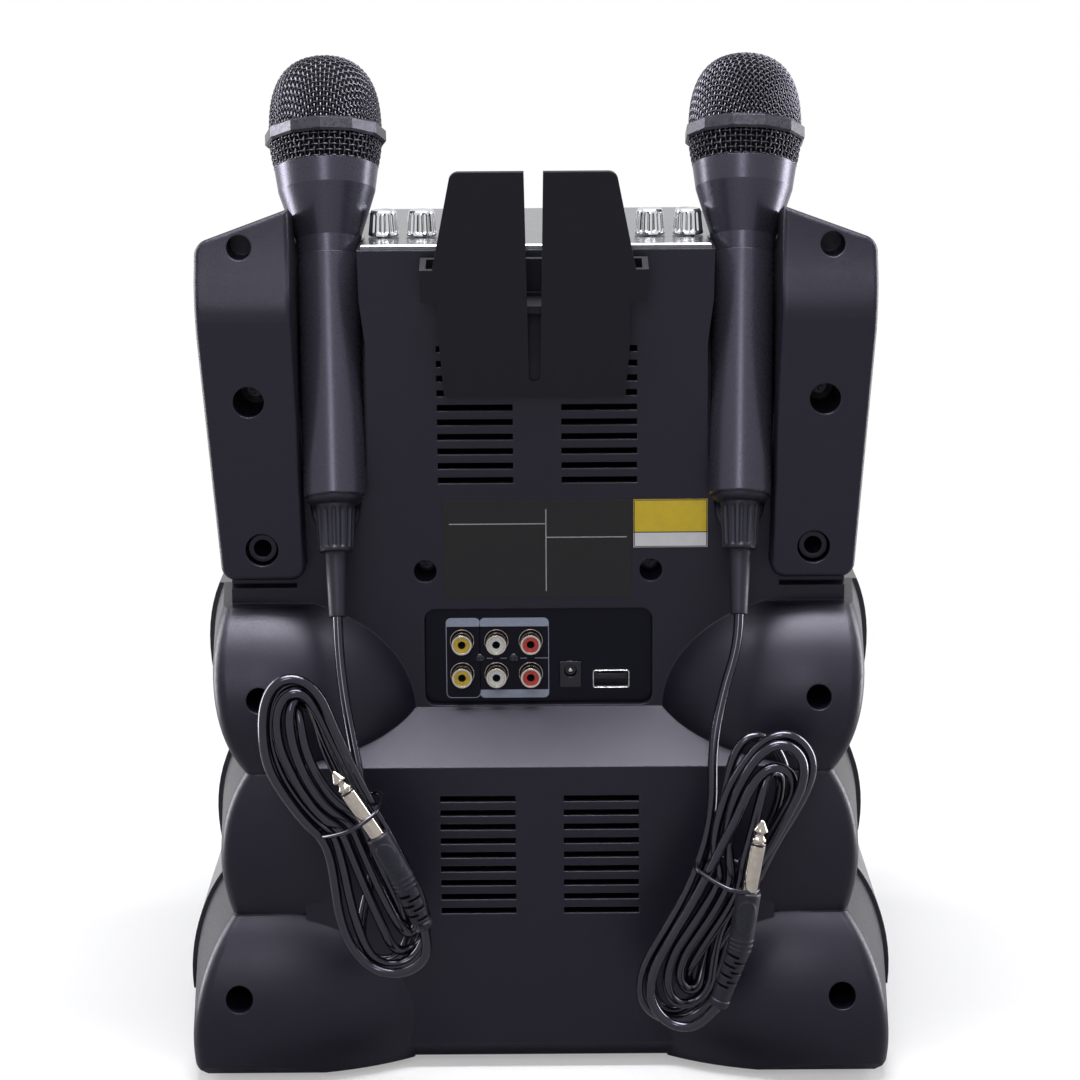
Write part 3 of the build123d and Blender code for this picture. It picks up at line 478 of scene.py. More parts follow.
def turnedPiece(name, side, profile, material, body, replaces=(), columns=64, shape=None):
    # profile of (r, s) turned about the microphone's axis; shape(angle, s) multiplies the radius
    r, s = np.array(profile, float).T[:, :, None]
    angle = np.linspace(0, 2 * math.pi, columns, endpoint=False)[None, :]
    if shape is not None:
        r = r * shape(angle, s)
    points = microphonePlaces(side, r, angle, s)
    rows = len(profile)
    flip = (side < 0) == (s[-1, 0] > s[0, 0])
    faces = gridFaces(rows, columns, flip=flip)
    meshPiece(name, points, faces, material, body, replaces, True, endCaps(rows, columns, flip))


def fluteShape(count, depth, low, high):
    # radius dips by depth between flutes, from low to high along the axis, eased in over 1 mm
    def shape(angle, s):
        inside = np.clip((s - low) / 1.0, 0, 1) * np.clip((high - s) / 1.0, 0, 1)
        groove = np.clip(np.cos(angle * count) * 1.8 + 0.2, -1, 1)
        return 1 - depth * inside * (0.5 - 0.5 * groove)
    return shape


# (radius, place on the axis): a seat in the handle, a collar, the fluted bushing, then the tapered sleeve
bushing = {"flutes": 14, "grooveDepth": 0.11, "fluted": (-21.0, -4.5)}
relief = [
    (0.6, 4), (10.5, 4), (10.5, 3.05), (8.9, 3.0), (8.9, 0.1), (11.2, 0.0), (11.2, -1.4), (11.0, -1.7),
    (9.4, -3.0), (8.2, -3.2),
]
relief += [(7.9 - 0.03 * k, -3.4 - 0.5 * k) for k in range(37)] + [(6.6, -22.0), (5.2, -22.4), (4.7, -23.0)]
relief += [(4.6 - 1.2 * (k / 24) ** 0.8, -24.0 - k) for k in range(24)] + [(3.3, -48.0), (2.3, -48.1)]
for label, side in (("right", 1), ("left", -1)):
    body = f"mic_{label}"
    points, faces = wireHead(side, math.radians(microphone["clothTurn"][label]))
    meshPiece(
        f"wireHead_{label}", points, faces[:, ::-1] if side < 0 else faces,
        look["blackenedSteel"], body, [f"mic_grille_{label}"],
    )
    arc, r, s = domeProfile()
    keep = np.linspace(30, len(arc) - 1, 26).astype(int)
    gap = microphone["foamGap"]
    foam = [(max(r[i] - gap, 0.5), s[i] - gap * (1 - arc[i] / arc[-1])) for i in keep]
    foam += [(float(bandRadius(h)) - gap, h) for h in (145, 142, 139, 135)]
    turnedPiece(f"headFoam_{label}", side, foam, look["foamAndShadeBlack"], body)
    turnedPiece(
        f"strainRelief_{label}", side, relief, look["mouldedPvc"], body, [f"mic_strain_relief_{label}"], 84,
        fluteShape(bushing["flutes"], bushing["grooveDepth"], *bushing["fluted"]),
    )
print("microphones made")


# each route in mm from the strain relief, down the back, through five turns of the tied hank to the plug
cordRoutes = {"right": [
    (79.6, 99.2, 191.2), (79.2, 103.5, 180), (77.2, 110.5, 163), (73.2, 119, 144), (69.4, 126, 127),
    (64.8, 127.5, 106.9), (66.8, 124.1, 89.8), (70.7, 123, 76.1), (71.7, 124, 64.5), (67.5, 125, 57.5),
    (59.9, 124.9, 55.9), (52.8, 123.4, 61.8), (52.6, 122.6, 78.6), (57.8, 122.6, 95.6), (64.9, 122.7, 108.5),
    (72.1, 123.6, 119.7), (79.8, 123, 133.1), (84.6, 123, 145.4), (87.2, 124, 158.3), (92.2, 128.3, 164.5),
    (93.9, 133.7, 164.8), (92.5, 137.4, 159.5), (91, 138.4, 149.4), (87.4, 138.4, 139.5),
    (81.2, 138.5, 129.4), (74.5, 138.6, 123.7), (69.2, 138.3, 119.8), (65.4, 138.5, 109), (60.9, 137.9, 97.7),
    (56.7, 136.1, 87), (54.3, 132.1, 76.4), (52.4, 127.4, 74), (50.6, 125.8, 79.9), (56.2, 127, 95.4),
    (62.3, 130.8, 108.2), (69.4, 131, 120.2), (77.6, 128, 135.7), (83.4, 127.6, 148.7), (87.2, 130.3, 161.6),
    (90.6, 133, 168.7), (95.3, 136.5, 167.8), (96.7, 139, 161.1), (95.5, 139, 150.1), (91.4, 139, 138.1),
    (84.8, 139, 127.3), (79.3, 138.3, 122), (73.3, 138.1, 117.8), (69, 138.5, 106.8), (64.3, 138.6, 94.8),
    (58.8, 138, 82.4), (54.2, 134.9, 72.2), (50.2, 131.1, 69.6), (48.4, 130, 75.2), (52.6, 130.8, 88.5),
    (59.9, 134.6, 104.9), (66.2, 134.9, 118.6), (74, 133.9, 136), (80.7, 133.5, 150.6), (86.8, 135.6, 165),
    (91.5, 138.4, 171.5), (98.1, 138.4, 170.5), (101.7, 138.5, 162.4), (100.9, 138.5, 150.2),
    (96.6, 138.5, 139.6), (91.3, 138.4, 129.4), (84.5, 139, 120.6), (76.9, 139, 115.8), (73, 138.5, 104.1),
    (67.6, 138.5, 89.6), (62.4, 138, 76.4), (58.4, 135.7, 65.2), (52.1, 130.7, 62.2), (46.3, 127.7, 67.5),
    (46.5, 126.7, 80.9), (53.8, 129.9, 99), (59.4, 132.3, 111.3), (66.1, 130.6, 122.8), (73.6, 129.5, 137.3),
    (79.8, 128.2, 152.3), (85.6, 128.8, 168.1), (93.5, 132.1, 173.6), (100.5, 133.9, 171.6),
    (103.9, 134.5, 163.4), (104.3, 134.5, 150.3), (100.7, 134.8, 137.4), (93.8, 135.2, 125.8),
    (86.7, 135.8, 118.1), (80.4, 137.3, 113.9), (77.1, 138.4, 102.5), (74.3, 138.5, 85.9),
    (70.7, 138.5, 71.8), (66.2, 137.5, 61.4), (58.3, 135.7, 57.9), (49.1, 134, 60.8), (44.3, 131.3, 71.2),
    (46.6, 131.4, 84.9), (53, 134.1, 99.4), (59.6, 136.8, 114), (65.7, 137.1, 126), (73.2, 136.6, 141.4),
    (79.3, 136.6, 156.1), (84.9, 137.1, 170.9), (93.2, 137.5, 177.2), (101.7, 138.3, 175.4),
    (106.3, 138.7, 166.5), (107.1, 138.7, 153.2), (105, 138.7, 140.2), (98.8, 138.6, 129.1),
    (90.9, 139, 118.4), (84.5, 138.9, 112.2), (81.6, 138.4, 103.9), (80.1, 138.5, 91.7), (78.7, 139, 79.9),
    (74.6, 140, 67.8), (66.5, 141, 58.9), (56.6, 143, 57.2), (47.8, 145, 61.2), (43.5, 146.6, 69.2),
    (45.2, 146.6, 77.5),
], "left": [
    (-79.6, 99.2, 191.2), (-79.2, 103.5, 180), (-72.8, 111.5, 163), (-68, 119.5, 142), (-68.4, 126.5, 117),
    (-61.5, 131.7, 95.1), (-56.3, 133.1, 83.9), (-49.4, 134, 71.7), (-42.7, 134, 60.5), (-39.1, 134, 50),
    (-40.8, 133, 39.9), (-47.6, 131, 33.5), (-57.3, 128, 31.4), (-65.6, 126, 36.5), (-73.7, 125.6, 47.4),
    (-77.5, 124.4, 61.3), (-80.8, 124, 75.4), (-85.4, 124, 89.6), (-90.8, 124, 102), (-96.5, 123.8, 116.9),
    (-97.8, 124.3, 130.2), (-94.1, 126, 142.5), (-87.2, 128, 149.6), (-80.3, 129.4, 149.1),
    (-75.8, 130, 141.9), (-73.6, 129.6, 131.8), (-71.8, 129.5, 121.5), (-69.8, 130.1, 108.1),
    (-66.2, 129.8, 96.3), (-58.8, 129.4, 82), (-52, 129, 69.9), (-45.7, 128.5, 58), (-43.6, 128, 46.2),
    (-47.2, 127, 36.3), (-54.9, 125.4, 33.8), (-62, 122.6, 39), (-66.2, 122.6, 52.3), (-72.6, 126.8, 65.9),
    (-81, 128.3, 80), (-87.3, 128.6, 94), (-93, 129.9, 107.2), (-99.8, 131.9, 119.3), (-105, 133.5, 130.6),
    (-106.7, 134.8, 141.2), (-101.8, 135.5, 150), (-94, 135.5, 152.7), (-85.9, 134.8, 148.4),
    (-78.9, 134.3, 138.9), (-72.4, 133.6, 127.2), (-68.6, 133.8, 112.3), (-68.8, 134.7, 101.8),
    (-70.8, 137.9, 94.1), (-64.5, 138.5, 82.6), (-57.6, 138.6, 71.9), (-51.7, 138, 62.4), (-49.2, 137, 50.4),
    (-52.8, 134.5, 41.2), (-60.1, 131.7, 39.7), (-67.4, 130.2, 45.8), (-68.6, 129.3, 58.9),
    (-71.2, 129.8, 72), (-78.5, 132.5, 86.4), (-84.8, 134, 97), (-91.3, 135, 108.4), (-97.2, 136.8, 120.9),
    (-102, 138.3, 131.6), (-102.9, 138.8, 141.8), (-98, 139, 148.4), (-91.5, 138.9, 149.5),
    (-85.1, 138.6, 145), (-79.3, 138, 135.8), (-75, 136.4, 124.7), (-73, 134.3, 111.1), (-74.2, 137.6, 101.1),
    (-74.8, 138.3, 93.1), (-69, 138.5, 81.8), (-62.5, 137.9, 71.7), (-56.7, 136.9, 63), (-54.1, 135, 53),
    (-57.6, 132.8, 45.8), (-62.6, 131.4, 46.4), (-64.5, 127.1, 54.2), (-67.5, 125.8, 66.6),
    (-72.5, 126, 79.2), (-76.8, 127, 91.6), (-84.6, 126.7, 103.9), (-90.9, 126, 113.1), (-94, 126.3, 122.7),
    (-94.7, 128.2, 132.2), (-91.7, 132, 136.9), (-88.1, 135.8, 135.3), (-85.9, 138.1, 126.9),
    (-83.7, 138.5, 117.7), (-81.4, 138.5, 108.3), (-79.2, 138.5, 100.1), (-78.7, 138.3, 92.1),
    (-74.4, 138, 82.5), (-68.1, 137, 72.3), (-62.7, 135.5, 63), (-57.6, 130.8, 52.7), (-60, 126.8, 44.9),
    (-67.2, 126.4, 44.9), (-72.7, 122.6, 55.7), (-75, 122.6, 69.9), (-78.3, 125.9, 83.6), (-84, 130, 97.3),
    (-89.4, 131.1, 108.9), (-95, 132.4, 119.2), (-99.4, 133.6, 128.2), (-97.9, 136.5, 137.1),
    (-92, 138.8, 140.7), (-85.9, 139, 138), (-80.9, 139, 129.9), (-76.9, 139, 119.4), (-71.1, 139, 108.5),
    (-65.9, 139.4, 96.6), (-58.9, 138.5, 82.9), (-51.6, 138.5, 70.2), (-45.5, 138.8, 59.4),
    (-42.5, 139.5, 48.8), (-45.6, 140.5, 39.1), (-53.9, 142, 33.8), (-63.2, 144.5, 36), (-69.4, 146.6, 45),
]}
cordDiameter = 0.004
# places in mm: tip, end of the bare sleeve, end of the straight grip and end of the boot
plugs = {
    "right": [(79.4, 146.6, 142.0), (62.9, 146.6, 116.0), (53.6, 146.6, 98.6), (45.2, 146.6, 77.5)],
    "left": [(-86.2, 146.6, 121.2), (-81.2, 146.6, 92.2), (-77.9, 146.6, 69.5), (-69.4, 146.6, 45.0)],
}
tie = {
    "ends": {"right": [(86.0, 113.5), (61.6, 126.9)], "left": [(-61.0, 99.0), (-85.8, 92.2)]},
    "front": 150.9, "back": 121.2, "squareness": 0.75, "narrowing": 0.35, "tuck": 4.0, "tilt": 1.2,
    "radius": 0.9, "columns": 96, "sides": 10,
}


def cordCurve(name, points):
    # one smooth curve of the second degree that the points pull along, given the cord's thickness
    curve = bpy.data.curves.new(name, "CURVE")
    curve.dimensions = "3D"
    spline = curve.splines.new("NURBS")
    spline.points.add(len(points) - 1)
    for point, place in zip(spline.points, points):
        point.co = (place[0] * mm, place[1] * mm, place[2] * mm, 1)
    spline.order_u = 3
    spline.use_endpoint_u = True
    spline.resolution_u = 5
    curve.resolution_u = 5
    curve.bevel_depth = cordDiameter / 2
    curve.bevel_resolution = 4
    curve.use_fill_caps = True
    curve.materials.append(look["drawnPvc"])
    return newObject(name, curve)


pathSamples = 400  # points along the axis of a plug
neighbours = 30  # how many on each side are averaged in where it bends


def axisPiece(name, path, profile, material, body, columns=48, shape=None, replaces=()):
    # a profile of (distance, radius) carried along the path, whose corners an average of neighbours softens
    knots = np.array(path, float)
    lengths = np.concatenate([[0], np.cumsum(np.linalg.norm(np.diff(knots, axis=0), axis=1))])
    fine = np.linspace(0, lengths[-1], pathSamples)
    line = np.stack([np.interp(fine, lengths, knots[:, i]) for i in range(3)], axis=1)
    weights = np.hanning(2 * neighbours + 1)
    weights = weights / weights.sum()
    before, after = line[0] - line[1], line[-1] - line[-2]
    lead = np.arange(neighbours, 0, -1)[:, None] * before + line[0]
    trail = np.arange(1, neighbours + 1)[:, None] * after + line[-1]
    padded = np.concatenate([lead, line, trail])
    line = np.stack([np.convolve(padded[:, i], weights, "valid") for i in range(3)], axis=1)
    d, r = np.array(profile, float).T
    r = r[:, None]
    centre = np.stack([np.interp(d, fine, line[:, i]) for i in range(3)], axis=1)
    slope = np.gradient(line, axis=0)
    along = np.stack([np.interp(d, fine, slope[:, i]) for i in range(3)], axis=1)
    along /= np.linalg.norm(along, axis=1)[:, None]
    side = np.cross(along, (0, 1, 0))
    side /= np.linalg.norm(side, axis=1)[:, None]
    other = np.cross(along, side)
    angle = np.linspace(0, 2 * math.pi, columns, endpoint=False)[None, :]
    if shape is not None:
        r = r * shape(angle, d[:, None])
    ring = np.cos(angle)[..., None] * side[:, None] + np.sin(angle)[..., None] * other[:, None]
    points = (centre[:, None] + (r * np.ones_like(angle))[..., None] * ring) * mm
    rows = len(profile)
    return meshPiece(
        name, points, gridFaces(rows, columns), material, body, replaces, True, endCaps(rows, columns),
    )


bootForm = {
    "radius": 4.8, "straight": 18, "slimming": 1.25, "step": 0.2,
    "ribsAt": (19.6, 21.6, 23.6), "ribRise": 0.05, "ribWidth": 0.5,
    "slotsFrom": 25.4, "slotPitch": 2.15, "slotCount": 7, "slotShare": 0.5, "slotDepth": 0.5,
    "gripAt": 9.8, "gripHalf": 7.4, "gripSpread": 0.95, "gripRise": 0.06, "pebble": 0.02,
}


def bootShape(angle, d):
    # ribs are bells of the distance, slots bite in from the two sides by turns, and an oval pad with
    # pebbles, a product of two cosines, stands on the front and the back
    form = bootForm
    rib = sum(form["ribRise"] * np.exp(-((d - at) / form["ribWidth"]) ** 2) for at in form["ribsAt"])
    step = (d - form["slotsFrom"]) / form["slotPitch"]
    number = np.floor(step)
    along = np.clip((0.5 * form["slotShare"] - np.abs(step - number - 0.5)) * 14, 0, 1)
    inside = (step > 0) & (step < form["slotCount"])
    facing = np.where(number % 2 == 0, np.cos(angle), -np.cos(angle))
    slot = form["slotDepth"] * along * inside * np.clip((facing + 0.2) * 8, 0, 1)
    away = np.arccos(np.clip(np.abs(np.sin(angle)), 0, 1))
    pad = 1 - ((d - form["gripAt"]) / form["gripHalf"]) ** 2 - (away / form["gripSpread"]) ** 2
    pad = np.clip(pad * 5, 0, 1)
    pebbles = form["pebble"] * np.cos(angle * 30 + d * 3.4) * np.cos(angle * 30 - d * 3.4)
    return (1 + rib - slot + pad * (form["gripRise"] + pebbles)) * np.ones_like(angle * d)


# (distance from the tip, radius): cone, neck, shoulder, groove, then the seat of the insulating ring
sleeveRadius = 3.17
plugProfile = [
    (0.0, 0.2), (0.2, 0.6), (0.7, 0.95), (3.6, 2.75), (4.0, 2.95), (4.3, 2.95), (4.6, 2.75), (5.6, 1.95),
    (6.3, 1.8), (6.9, 2.1), (7.3, 2.6), (7.7, 2.85), (8.3, 2.85), (8.5, 2.6), (8.6, 2.3), (9.0, 2.3),
    (9.1, 2.6), (9.2, 2.95), (9.4, 3.0), (10.2, 3.0), (10.3, sleeveRadius), (12, sleeveRadius),
]
ringProfile = [(9.3, 2.8), (9.32, 3.1), (9.45, 3.18), (10.15, 3.18), (10.28, 3.1), (10.3, 2.8)]
for label, route in cordRoutes.items():
    body = f"mic_{label}"
    cord = cordCurve(f"cord_{label}", route)
    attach(cord, body)
    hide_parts(f"mic_cord_{label}", f"mic_hank_{label}")

    tip, shaftEnd, barrelEnd, bootTip = (np.array(q) for q in plugs[label])
    shaft = [tip, (tip + shaftEnd) / 2, shaftEnd]
    profile = plugProfile + [(float(np.linalg.norm(shaftEnd - tip)) - 0.05, sleeveRadius)]
    plug = axisPiece(
        f"plug_{label}", shaft, profile, look["platedNickel"], body, replaces=[f"mic_plug_{label}"],
    )
    insulator = axisPiece(f"plugInsulator_{label}", shaft, ringProfile, look["polishedAbs"], body)
    total = float(np.linalg.norm(barrelEnd - shaftEnd) + np.linalg.norm(bootTip - barrelEnd))
    boot = [(0.0, 3.4), (0.05, 4.3), (0.35, 4.65), (0.9, bootForm["radius"])]
    first, last = 1.2, total - 3.2
    reach = np.linspace(first, last, int((last - first) / bootForm["step"]))
    share = np.clip((reach - bootForm["straight"]) / (total - bootForm["straight"]), 0, 1)
    radius = bootForm["radius"] - bootForm["slimming"] * share ** 1.15
    boot += list(zip(reach.tolist(), radius.tolist()))
    boot += [(total - 3.0, 3.95), (total - 2.8, 4.05), (total - 0.8, 3.95), (total - 0.3, 3.6), (total, 2.3)]
    bootPiece = axisPiece(
        f"plugBoot_{label}", [shaftEnd, barrelEnd, bootTip], boot, look["mouldedPvc"], body, 96,
        bootShape, [f"mic_plug_boot_{label}"],
    )

    # the tie: a squared-off loop round the strands and the plug, drawn in where there are only strands
    (x0, z0), (x1, z1) = tie["ends"][label]
    turn = np.linspace(0, 2 * math.pi, tie["columns"], endpoint=False)
    middle, halfDepth = (tie["front"] + tie["back"]) / 2, (tie["front"] - tie["back"]) / 2
    spread, depth = (np.sign(w) * np.abs(w) ** tie["squareness"] for w in (np.cos(turn), np.sin(turn)))
    away = np.clip(-spread, 0, 1)
    reach = halfDepth * depth * (1 - tie["narrowing"] * away * (depth > 0))
    loop = np.stack([
        (x0 + x1) / 2 + (x1 - x0) / 2 * spread,
        middle + reach - tie["tuck"] * away * np.clip(depth, 0, 1),
        (z0 + z1) / 2 + (z1 - z0) / 2 * spread - tie["tilt"] * depth,
    ], axis=1) * mm
    tiePiece = meshPiece(
        f"tie_{label}", sweptTube(loop, tie["radius"] * mm, tie["sides"], closed=True),
        gridFaces(tie["columns"], tie["sides"], wrapRows=True), look["drawnPvc"], body,
    )
print("cords made")


knob = {
    "places": (-61.3, -46.0, -30.7, 30.7, 46.0, 61.3), "y": 45.0, "base": 336.0,
    "flutes": 14, "fluteDepth": 0.09,
}


def knobSurface(x):
    # turned profile whose side is scalloped: r = profile * (1 - depth * scallop), flutes fade at both ends
    profile = [(2.6, -8), (2.6, -0.05), (6.0, 0.0), (6.25, 0.25), (6.25, 1.2), (6.12, 1.5)]
    profile += [(6.1 - 0.06 * k, 1.8 + 0.6 * k) for k in range(0, 13)]
    profile += [(5.2, 9.4), (4.95, 9.9), (4.6, 10.18), (4.3, 10.2), (4.1, 10.05), (2.0, 9.95), (0.3, 9.95)]
    r, s = np.array(profile).T[:, :, None]
    angle = np.linspace(0, 2 * math.pi, knob["flutes"] * 8, endpoint=False)[None, :]
    inside = np.clip((s - 1.3) / 0.5, 0, 1) * np.clip((9.3 - s) / 0.5, 0, 1)
    scallop = np.abs(np.sin(angle * knob["flutes"] / 2))
    r = r * (1 - knob["fluteDepth"] * inside * (1 - scallop ** 0.8))
    return np.stack(np.broadcast_arrays(
        x + r * np.cos(angle), knob["y"] + r * np.sin(angle), knob["base"] + s,
    ), axis=-1) * mm


for number, x in enumerate(knob["places"], 1):
    points = knobSurface(x)
    rows, columns = points.shape[:2]
    meshPiece(
        f"knobCap_{number}", points, gridFaces(rows, columns), look["platedChrome"],
        f"knob_{number}", [f"knob_{number}"], True, endCaps(rows, columns),
    )
print("knobs made")


def plateOutline(x0, x1, z0, z1, corners, steps=8):
    # rounded rectangle as points in order; corners are the radii from the top one at +X round to the low one
    angle = np.linspace(0, math.pi / 2, steps)
    quarter = np.stack([np.cos(angle), np.sin(angle)], axis=1)
    radii = (corners,) * 4 if isinstance(corners, (int, float)) else corners
    signs = ((1, 1), (-1, 1), (-1, -1), (1, -1))
    out = []
    for turn, (radius, (sx, sz)) in enumerate(zip(radii, signs)):
        cx = (x1 if sx > 0 else x0) - sx * radius
        cz = (z1 if sz > 0 else z0) - sz * radius
        c, s = round(math.cos(turn * math.pi / 2)), round(math.sin(turn * math.pi / 2))
        out.append(np.stack([
            cx + radius * (quarter[:, 0] * c - quarter[:, 1] * s),
            cz + radius * (quarter[:, 0] * s + quarter[:, 1] * c),
        ], axis=1))
    return np.concatenate(out)


def placedAt(outline, y):
    # an outline in (x, z) given its y
    return np.column_stack([outline[:, 0], np.full(len(outline), y), outline[:, 1]])


inkRoot = 0.02  # how far ink reaches into the face, so that no gap shows


def inkLine(name, outline, y, width, material, closed=True, height=0.06):
    # a flat line of ink along an outline in (x, z): its two edges at half the width, raised by the height
    path = np.asarray(outline, float)
    if closed:
        along = np.roll(path, -1, axis=0) - np.roll(path, 1, axis=0)
    else:
        along = np.gradient(path, axis=0)
    along /= np.linalg.norm(along, axis=1)[:, None]
    across = np.stack([-along[:, 1], along[:, 0]], axis=1) * width / 2
    edges = [path - across, path - across, path + across, path + across]
    heights = [y - inkRoot, y + height, y + height, y - inkRoot]
    points = np.stack([placedAt(edge, height) for edge, height in zip(edges, heights)], axis=1) * mm
    meshPiece(
        name, points, gridFaces(len(path), 4, wrapRows=closed), material, "machine", (), False,
        [] if closed else endCaps(len(path), 4),
    )


def inkPatch(name, outline, y, material, height=0.05):
    # a flat of ink: the outline at two heights, closed front and back
    points = np.stack([placedAt(outline, y - inkRoot), placedAt(outline, y + height)]) * mm
    columns = len(outline)
    meshPiece(
        name, points, gridFaces(2, columns, flip=True), material, "machine", (), False,
        endCaps(2, columns, flip=True),
    )


def roundPiece(name, x, z, profile, material, slot, columns=48, dent=None):
    # profile of (radius, height over the panel) turned about a line through (x, z); dent(x, z) is taken off
    r, height = np.array(profile, float).T[:, :, None]
    angle = np.linspace(0, 2 * math.pi, columns, endpoint=False)[None, :]
    across, up = r * np.cos(angle), r * np.sin(angle)
    height = height * np.ones_like(angle)
    if dent is not None:
        height = height - dent(across, up)
    points = np.stack([x + across, panel["face"] + height, z + up], axis=-1) * mm
    rows = len(profile)
    flip = profile[-1][1] > profile[0][1]
    meshPiece(
        name, points, gridFaces(rows, columns, flip=flip), material, "machine", (), True,
        endCaps(rows, columns, flip),
    )


panel = {
    "face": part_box("jack_panel")[1].y / mm,
    "video": (23.9, 37.6), "audio": (-4.1, 23.9), "low": 148.9, "high": 182.4, "corner": 2.0, "square": 0.05,
    "header": 178.9, "footer": 152.2, "middle": 165.5, "lineWidth": 0.27,
    "middleLines": ((-4.1, 1.6), (4.8, 7.4), (13.0, 15.6), (18.8, 21.2)),
    "screws": ((23.9, 165.6), (10.2, 165.6)),
    "jacks": ((3.2, 158.9), (3.2, 172.8), (17.2, 158.9), (17.2, 172.8), (31.2, 158.9), (31.2, 172.8)),
}
face, corner, square, line = (panel[key] for key in ("face", "corner", "square", "lineWidth"))
ink = look["paleInk"]
for name in ("video", "audio"):
    x0, x1 = panel[name]
    inkLine(f"{name}Frame", plateOutline(x0, x1, panel["low"], panel["high"], corner), face, line, ink)
    header = plateOutline(x0, x1, panel["header"], panel["high"], (corner, corner, square, square))
    inkPatch(f"{name}Header", header, face, ink)
footer = plateOutline(*panel["audio"], panel["low"], panel["footer"], (square, square, corner, corner))
inkPatch("audioFooter", footer, face, ink)
for number, ends in enumerate(panel["middleLines"], 1):
    inkLine(f"middleLine_{number}", [(x, panel["middle"]) for x in ends], face, line, ink, False)

# each phono socket: the rolled rim of its washer, and a black dish in its centre bore, painted shade where
# the bore is dark, dished so that no light comes back
washer = {"radius": 4.75, "thick": 0.2, "rise": 0.05, "columns": 48, "sides": 8}
boreShadeProfile = [(1.58, 3.0), (1.58, 6.45), (1.35, 6.3), (1.1, 5.2), (0.05, 4.4)]
turn = np.linspace(0, 2 * math.pi, washer["columns"], endpoint=False)
for number, (x, z) in enumerate(panel["jacks"], 1):
    path = np.column_stack([
        x + washer["radius"] * np.cos(turn), np.full(len(turn), face + washer["rise"]),
        z + washer["radius"] * np.sin(turn),
    ])
    meshPiece(
        f"washerRim_{number}", sweptTube(path * mm, washer["thick"] * mm, washer["sides"], True),
        gridFaces(washer["columns"], washer["sides"], wrapRows=True), look["platedNickel"],
        "machine",
    )
    roundPiece(f"boreShadeDish_{number}", x, z, boreShadeProfile, look["foamAndShadeBlack"], "soft_black", 24)

screw = {"radius": 1.95, "dome": 0.75, "barWidth": 0.32, "barLength": 1.2, "sunk": 0.7}


def crossDent(across, up):
    # a cross recess: two bars at right angles, sunk below the dome
    wide, far = screw["barWidth"], screw["barLength"]
    bars = (np.abs(across) < wide) & (np.abs(up) < far) | (np.abs(up) < wide) & (np.abs(across) < far)
    return screw["sunk"] * bars


for number, (x, z) in enumerate(panel["screws"], 1):
    head = [(screw["radius"], -0.05)]
    head += [
        (screw["radius"] * math.cos(t), 0.15 + screw["dome"] * math.sin(t)) for t in np.linspace(0, 1.5, 16)
    ]
    head += [(0.12, 0.9), (0.02, 0.9)]
    roundPiece(f"panelScrew_{number}", x, z, head, look["blackenedSteel"], "black_steel", 64, crossDent)

# the supply socket: a black barrel round a nickel pin
supply = {
    "place": (-13.0, 160.0),
    "barrel": [(4.3, -1.2), (4.3, 0.25), (4.05, 0.5), (3.0, 0.5), (2.5, 0.1), (2.5, -6), (0.2, -6)],
    "pin": [(0.95, -6), (0.95, -0.9), (0.8, -0.55), (0.45, -0.4), (0.05, -0.38)],
}
roundPiece("supplyBarrel", *supply["place"], supply["barrel"], look["polishedAbs"], "soft_black")
roundPiece("supplyPin", *supply["place"], supply["pin"], look["platedNickel"], "nickel", 24)

# the charging socket: a tinned shell folded round a black lining and tongue; the lining is painted shade for
# the socket's dark inside
charger = {
    "outline": (-37.1, -22.1, 152.8, 160.4), "tongue": (-35.1, -24.1, 157.0, 158.9), "wall": 0.42, "lip": 0.8,
}


def steppedPiece(name, outline, corner, steps, material, replaces=(), smooth=True, hollow=False):
    # a rounded outline repeated at each step of (inset, height over the panel); a hollow one is a loop of
    # wall whose last step joins the first
    x0, x1, z0, z1 = outline
    points = np.stack([
        placedAt(plateOutline(x0 + d, x1 - d, z0 + d, z1 - d, max(corner - d, 0.1)), face + height)
        for d, height in steps
    ]) * mm
    rows, columns = points.shape[:2]
    meshPiece(
        name, points, gridFaces(rows, columns, wrapRows=hollow, flip=True), material, "machine",
        replaces, smooth, () if hollow else endCaps(rows, columns, True),
    )


outline, wall, lip = charger["outline"], charger["wall"], charger["lip"]
shell = [(0.0, -1.5), (0.0, lip - 0.15), (0.12, lip), (wall - 0.1, lip), (wall, lip - 0.12), (wall, -1.5)]
steppedPiece("chargerShell", outline, 1.1, shell, look["tinnedSteel"], ["usb_port"], hollow=True)
# black lining inside the shell: painted shade where the socket's inside is dark
shadeLining = [(0.08, -6.5), (0.08, -0.8), (wall + 0.25, -0.7), (wall + 0.25, -6.0)]
steppedPiece("chargerShadeLining", outline, 1.1, shadeLining, look["polishedAbs"])
tongue = [(0.0, -6.0), (0.0, lip - 1.4), (0.2, lip - 1.2)]
steppedPiece("chargerTongue", charger["tongue"], 0.2, tongue, look["polishedAbs"], smooth=False)
print("rear sockets made")

# the rating plate carries its ruled boxes only; the stickers have thin black borders
plate = {"face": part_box("rating_label")[1].y / mm, "width": 0.4, "rules": (
    [(-3.3, 194.7), (-3.3, 228.6)], [(-3.3, 217.0), (-35.8, 217.0)], [(35.8, 222.6), (-3.3, 222.6)],
)}
for number, ends in enumerate(plate["rules"], 1):
    inkLine(f"plateRule_{number}", ends, plate["face"], plate["width"], look["greyInk"], False)
low, high = (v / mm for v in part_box("stickers"))
x0, x1 = low.x + sticker["inset"], high.x - sticker["inset"]
border = plateOutline(x0, x1, low.z + sticker["inset"], high.z - sticker["inset"], 0.1, 2)
divide = [(x0, sticker["divide"]), (x1, sticker["divide"])]
for name, path, closed in (("stickerBorder", border, True), ("stickerDivide", divide, False)):
    inkLine(name, path, high.y, sticker["lineWidth"], look["blackInk"], closed, sticker["lineHeight"])
print("print made")


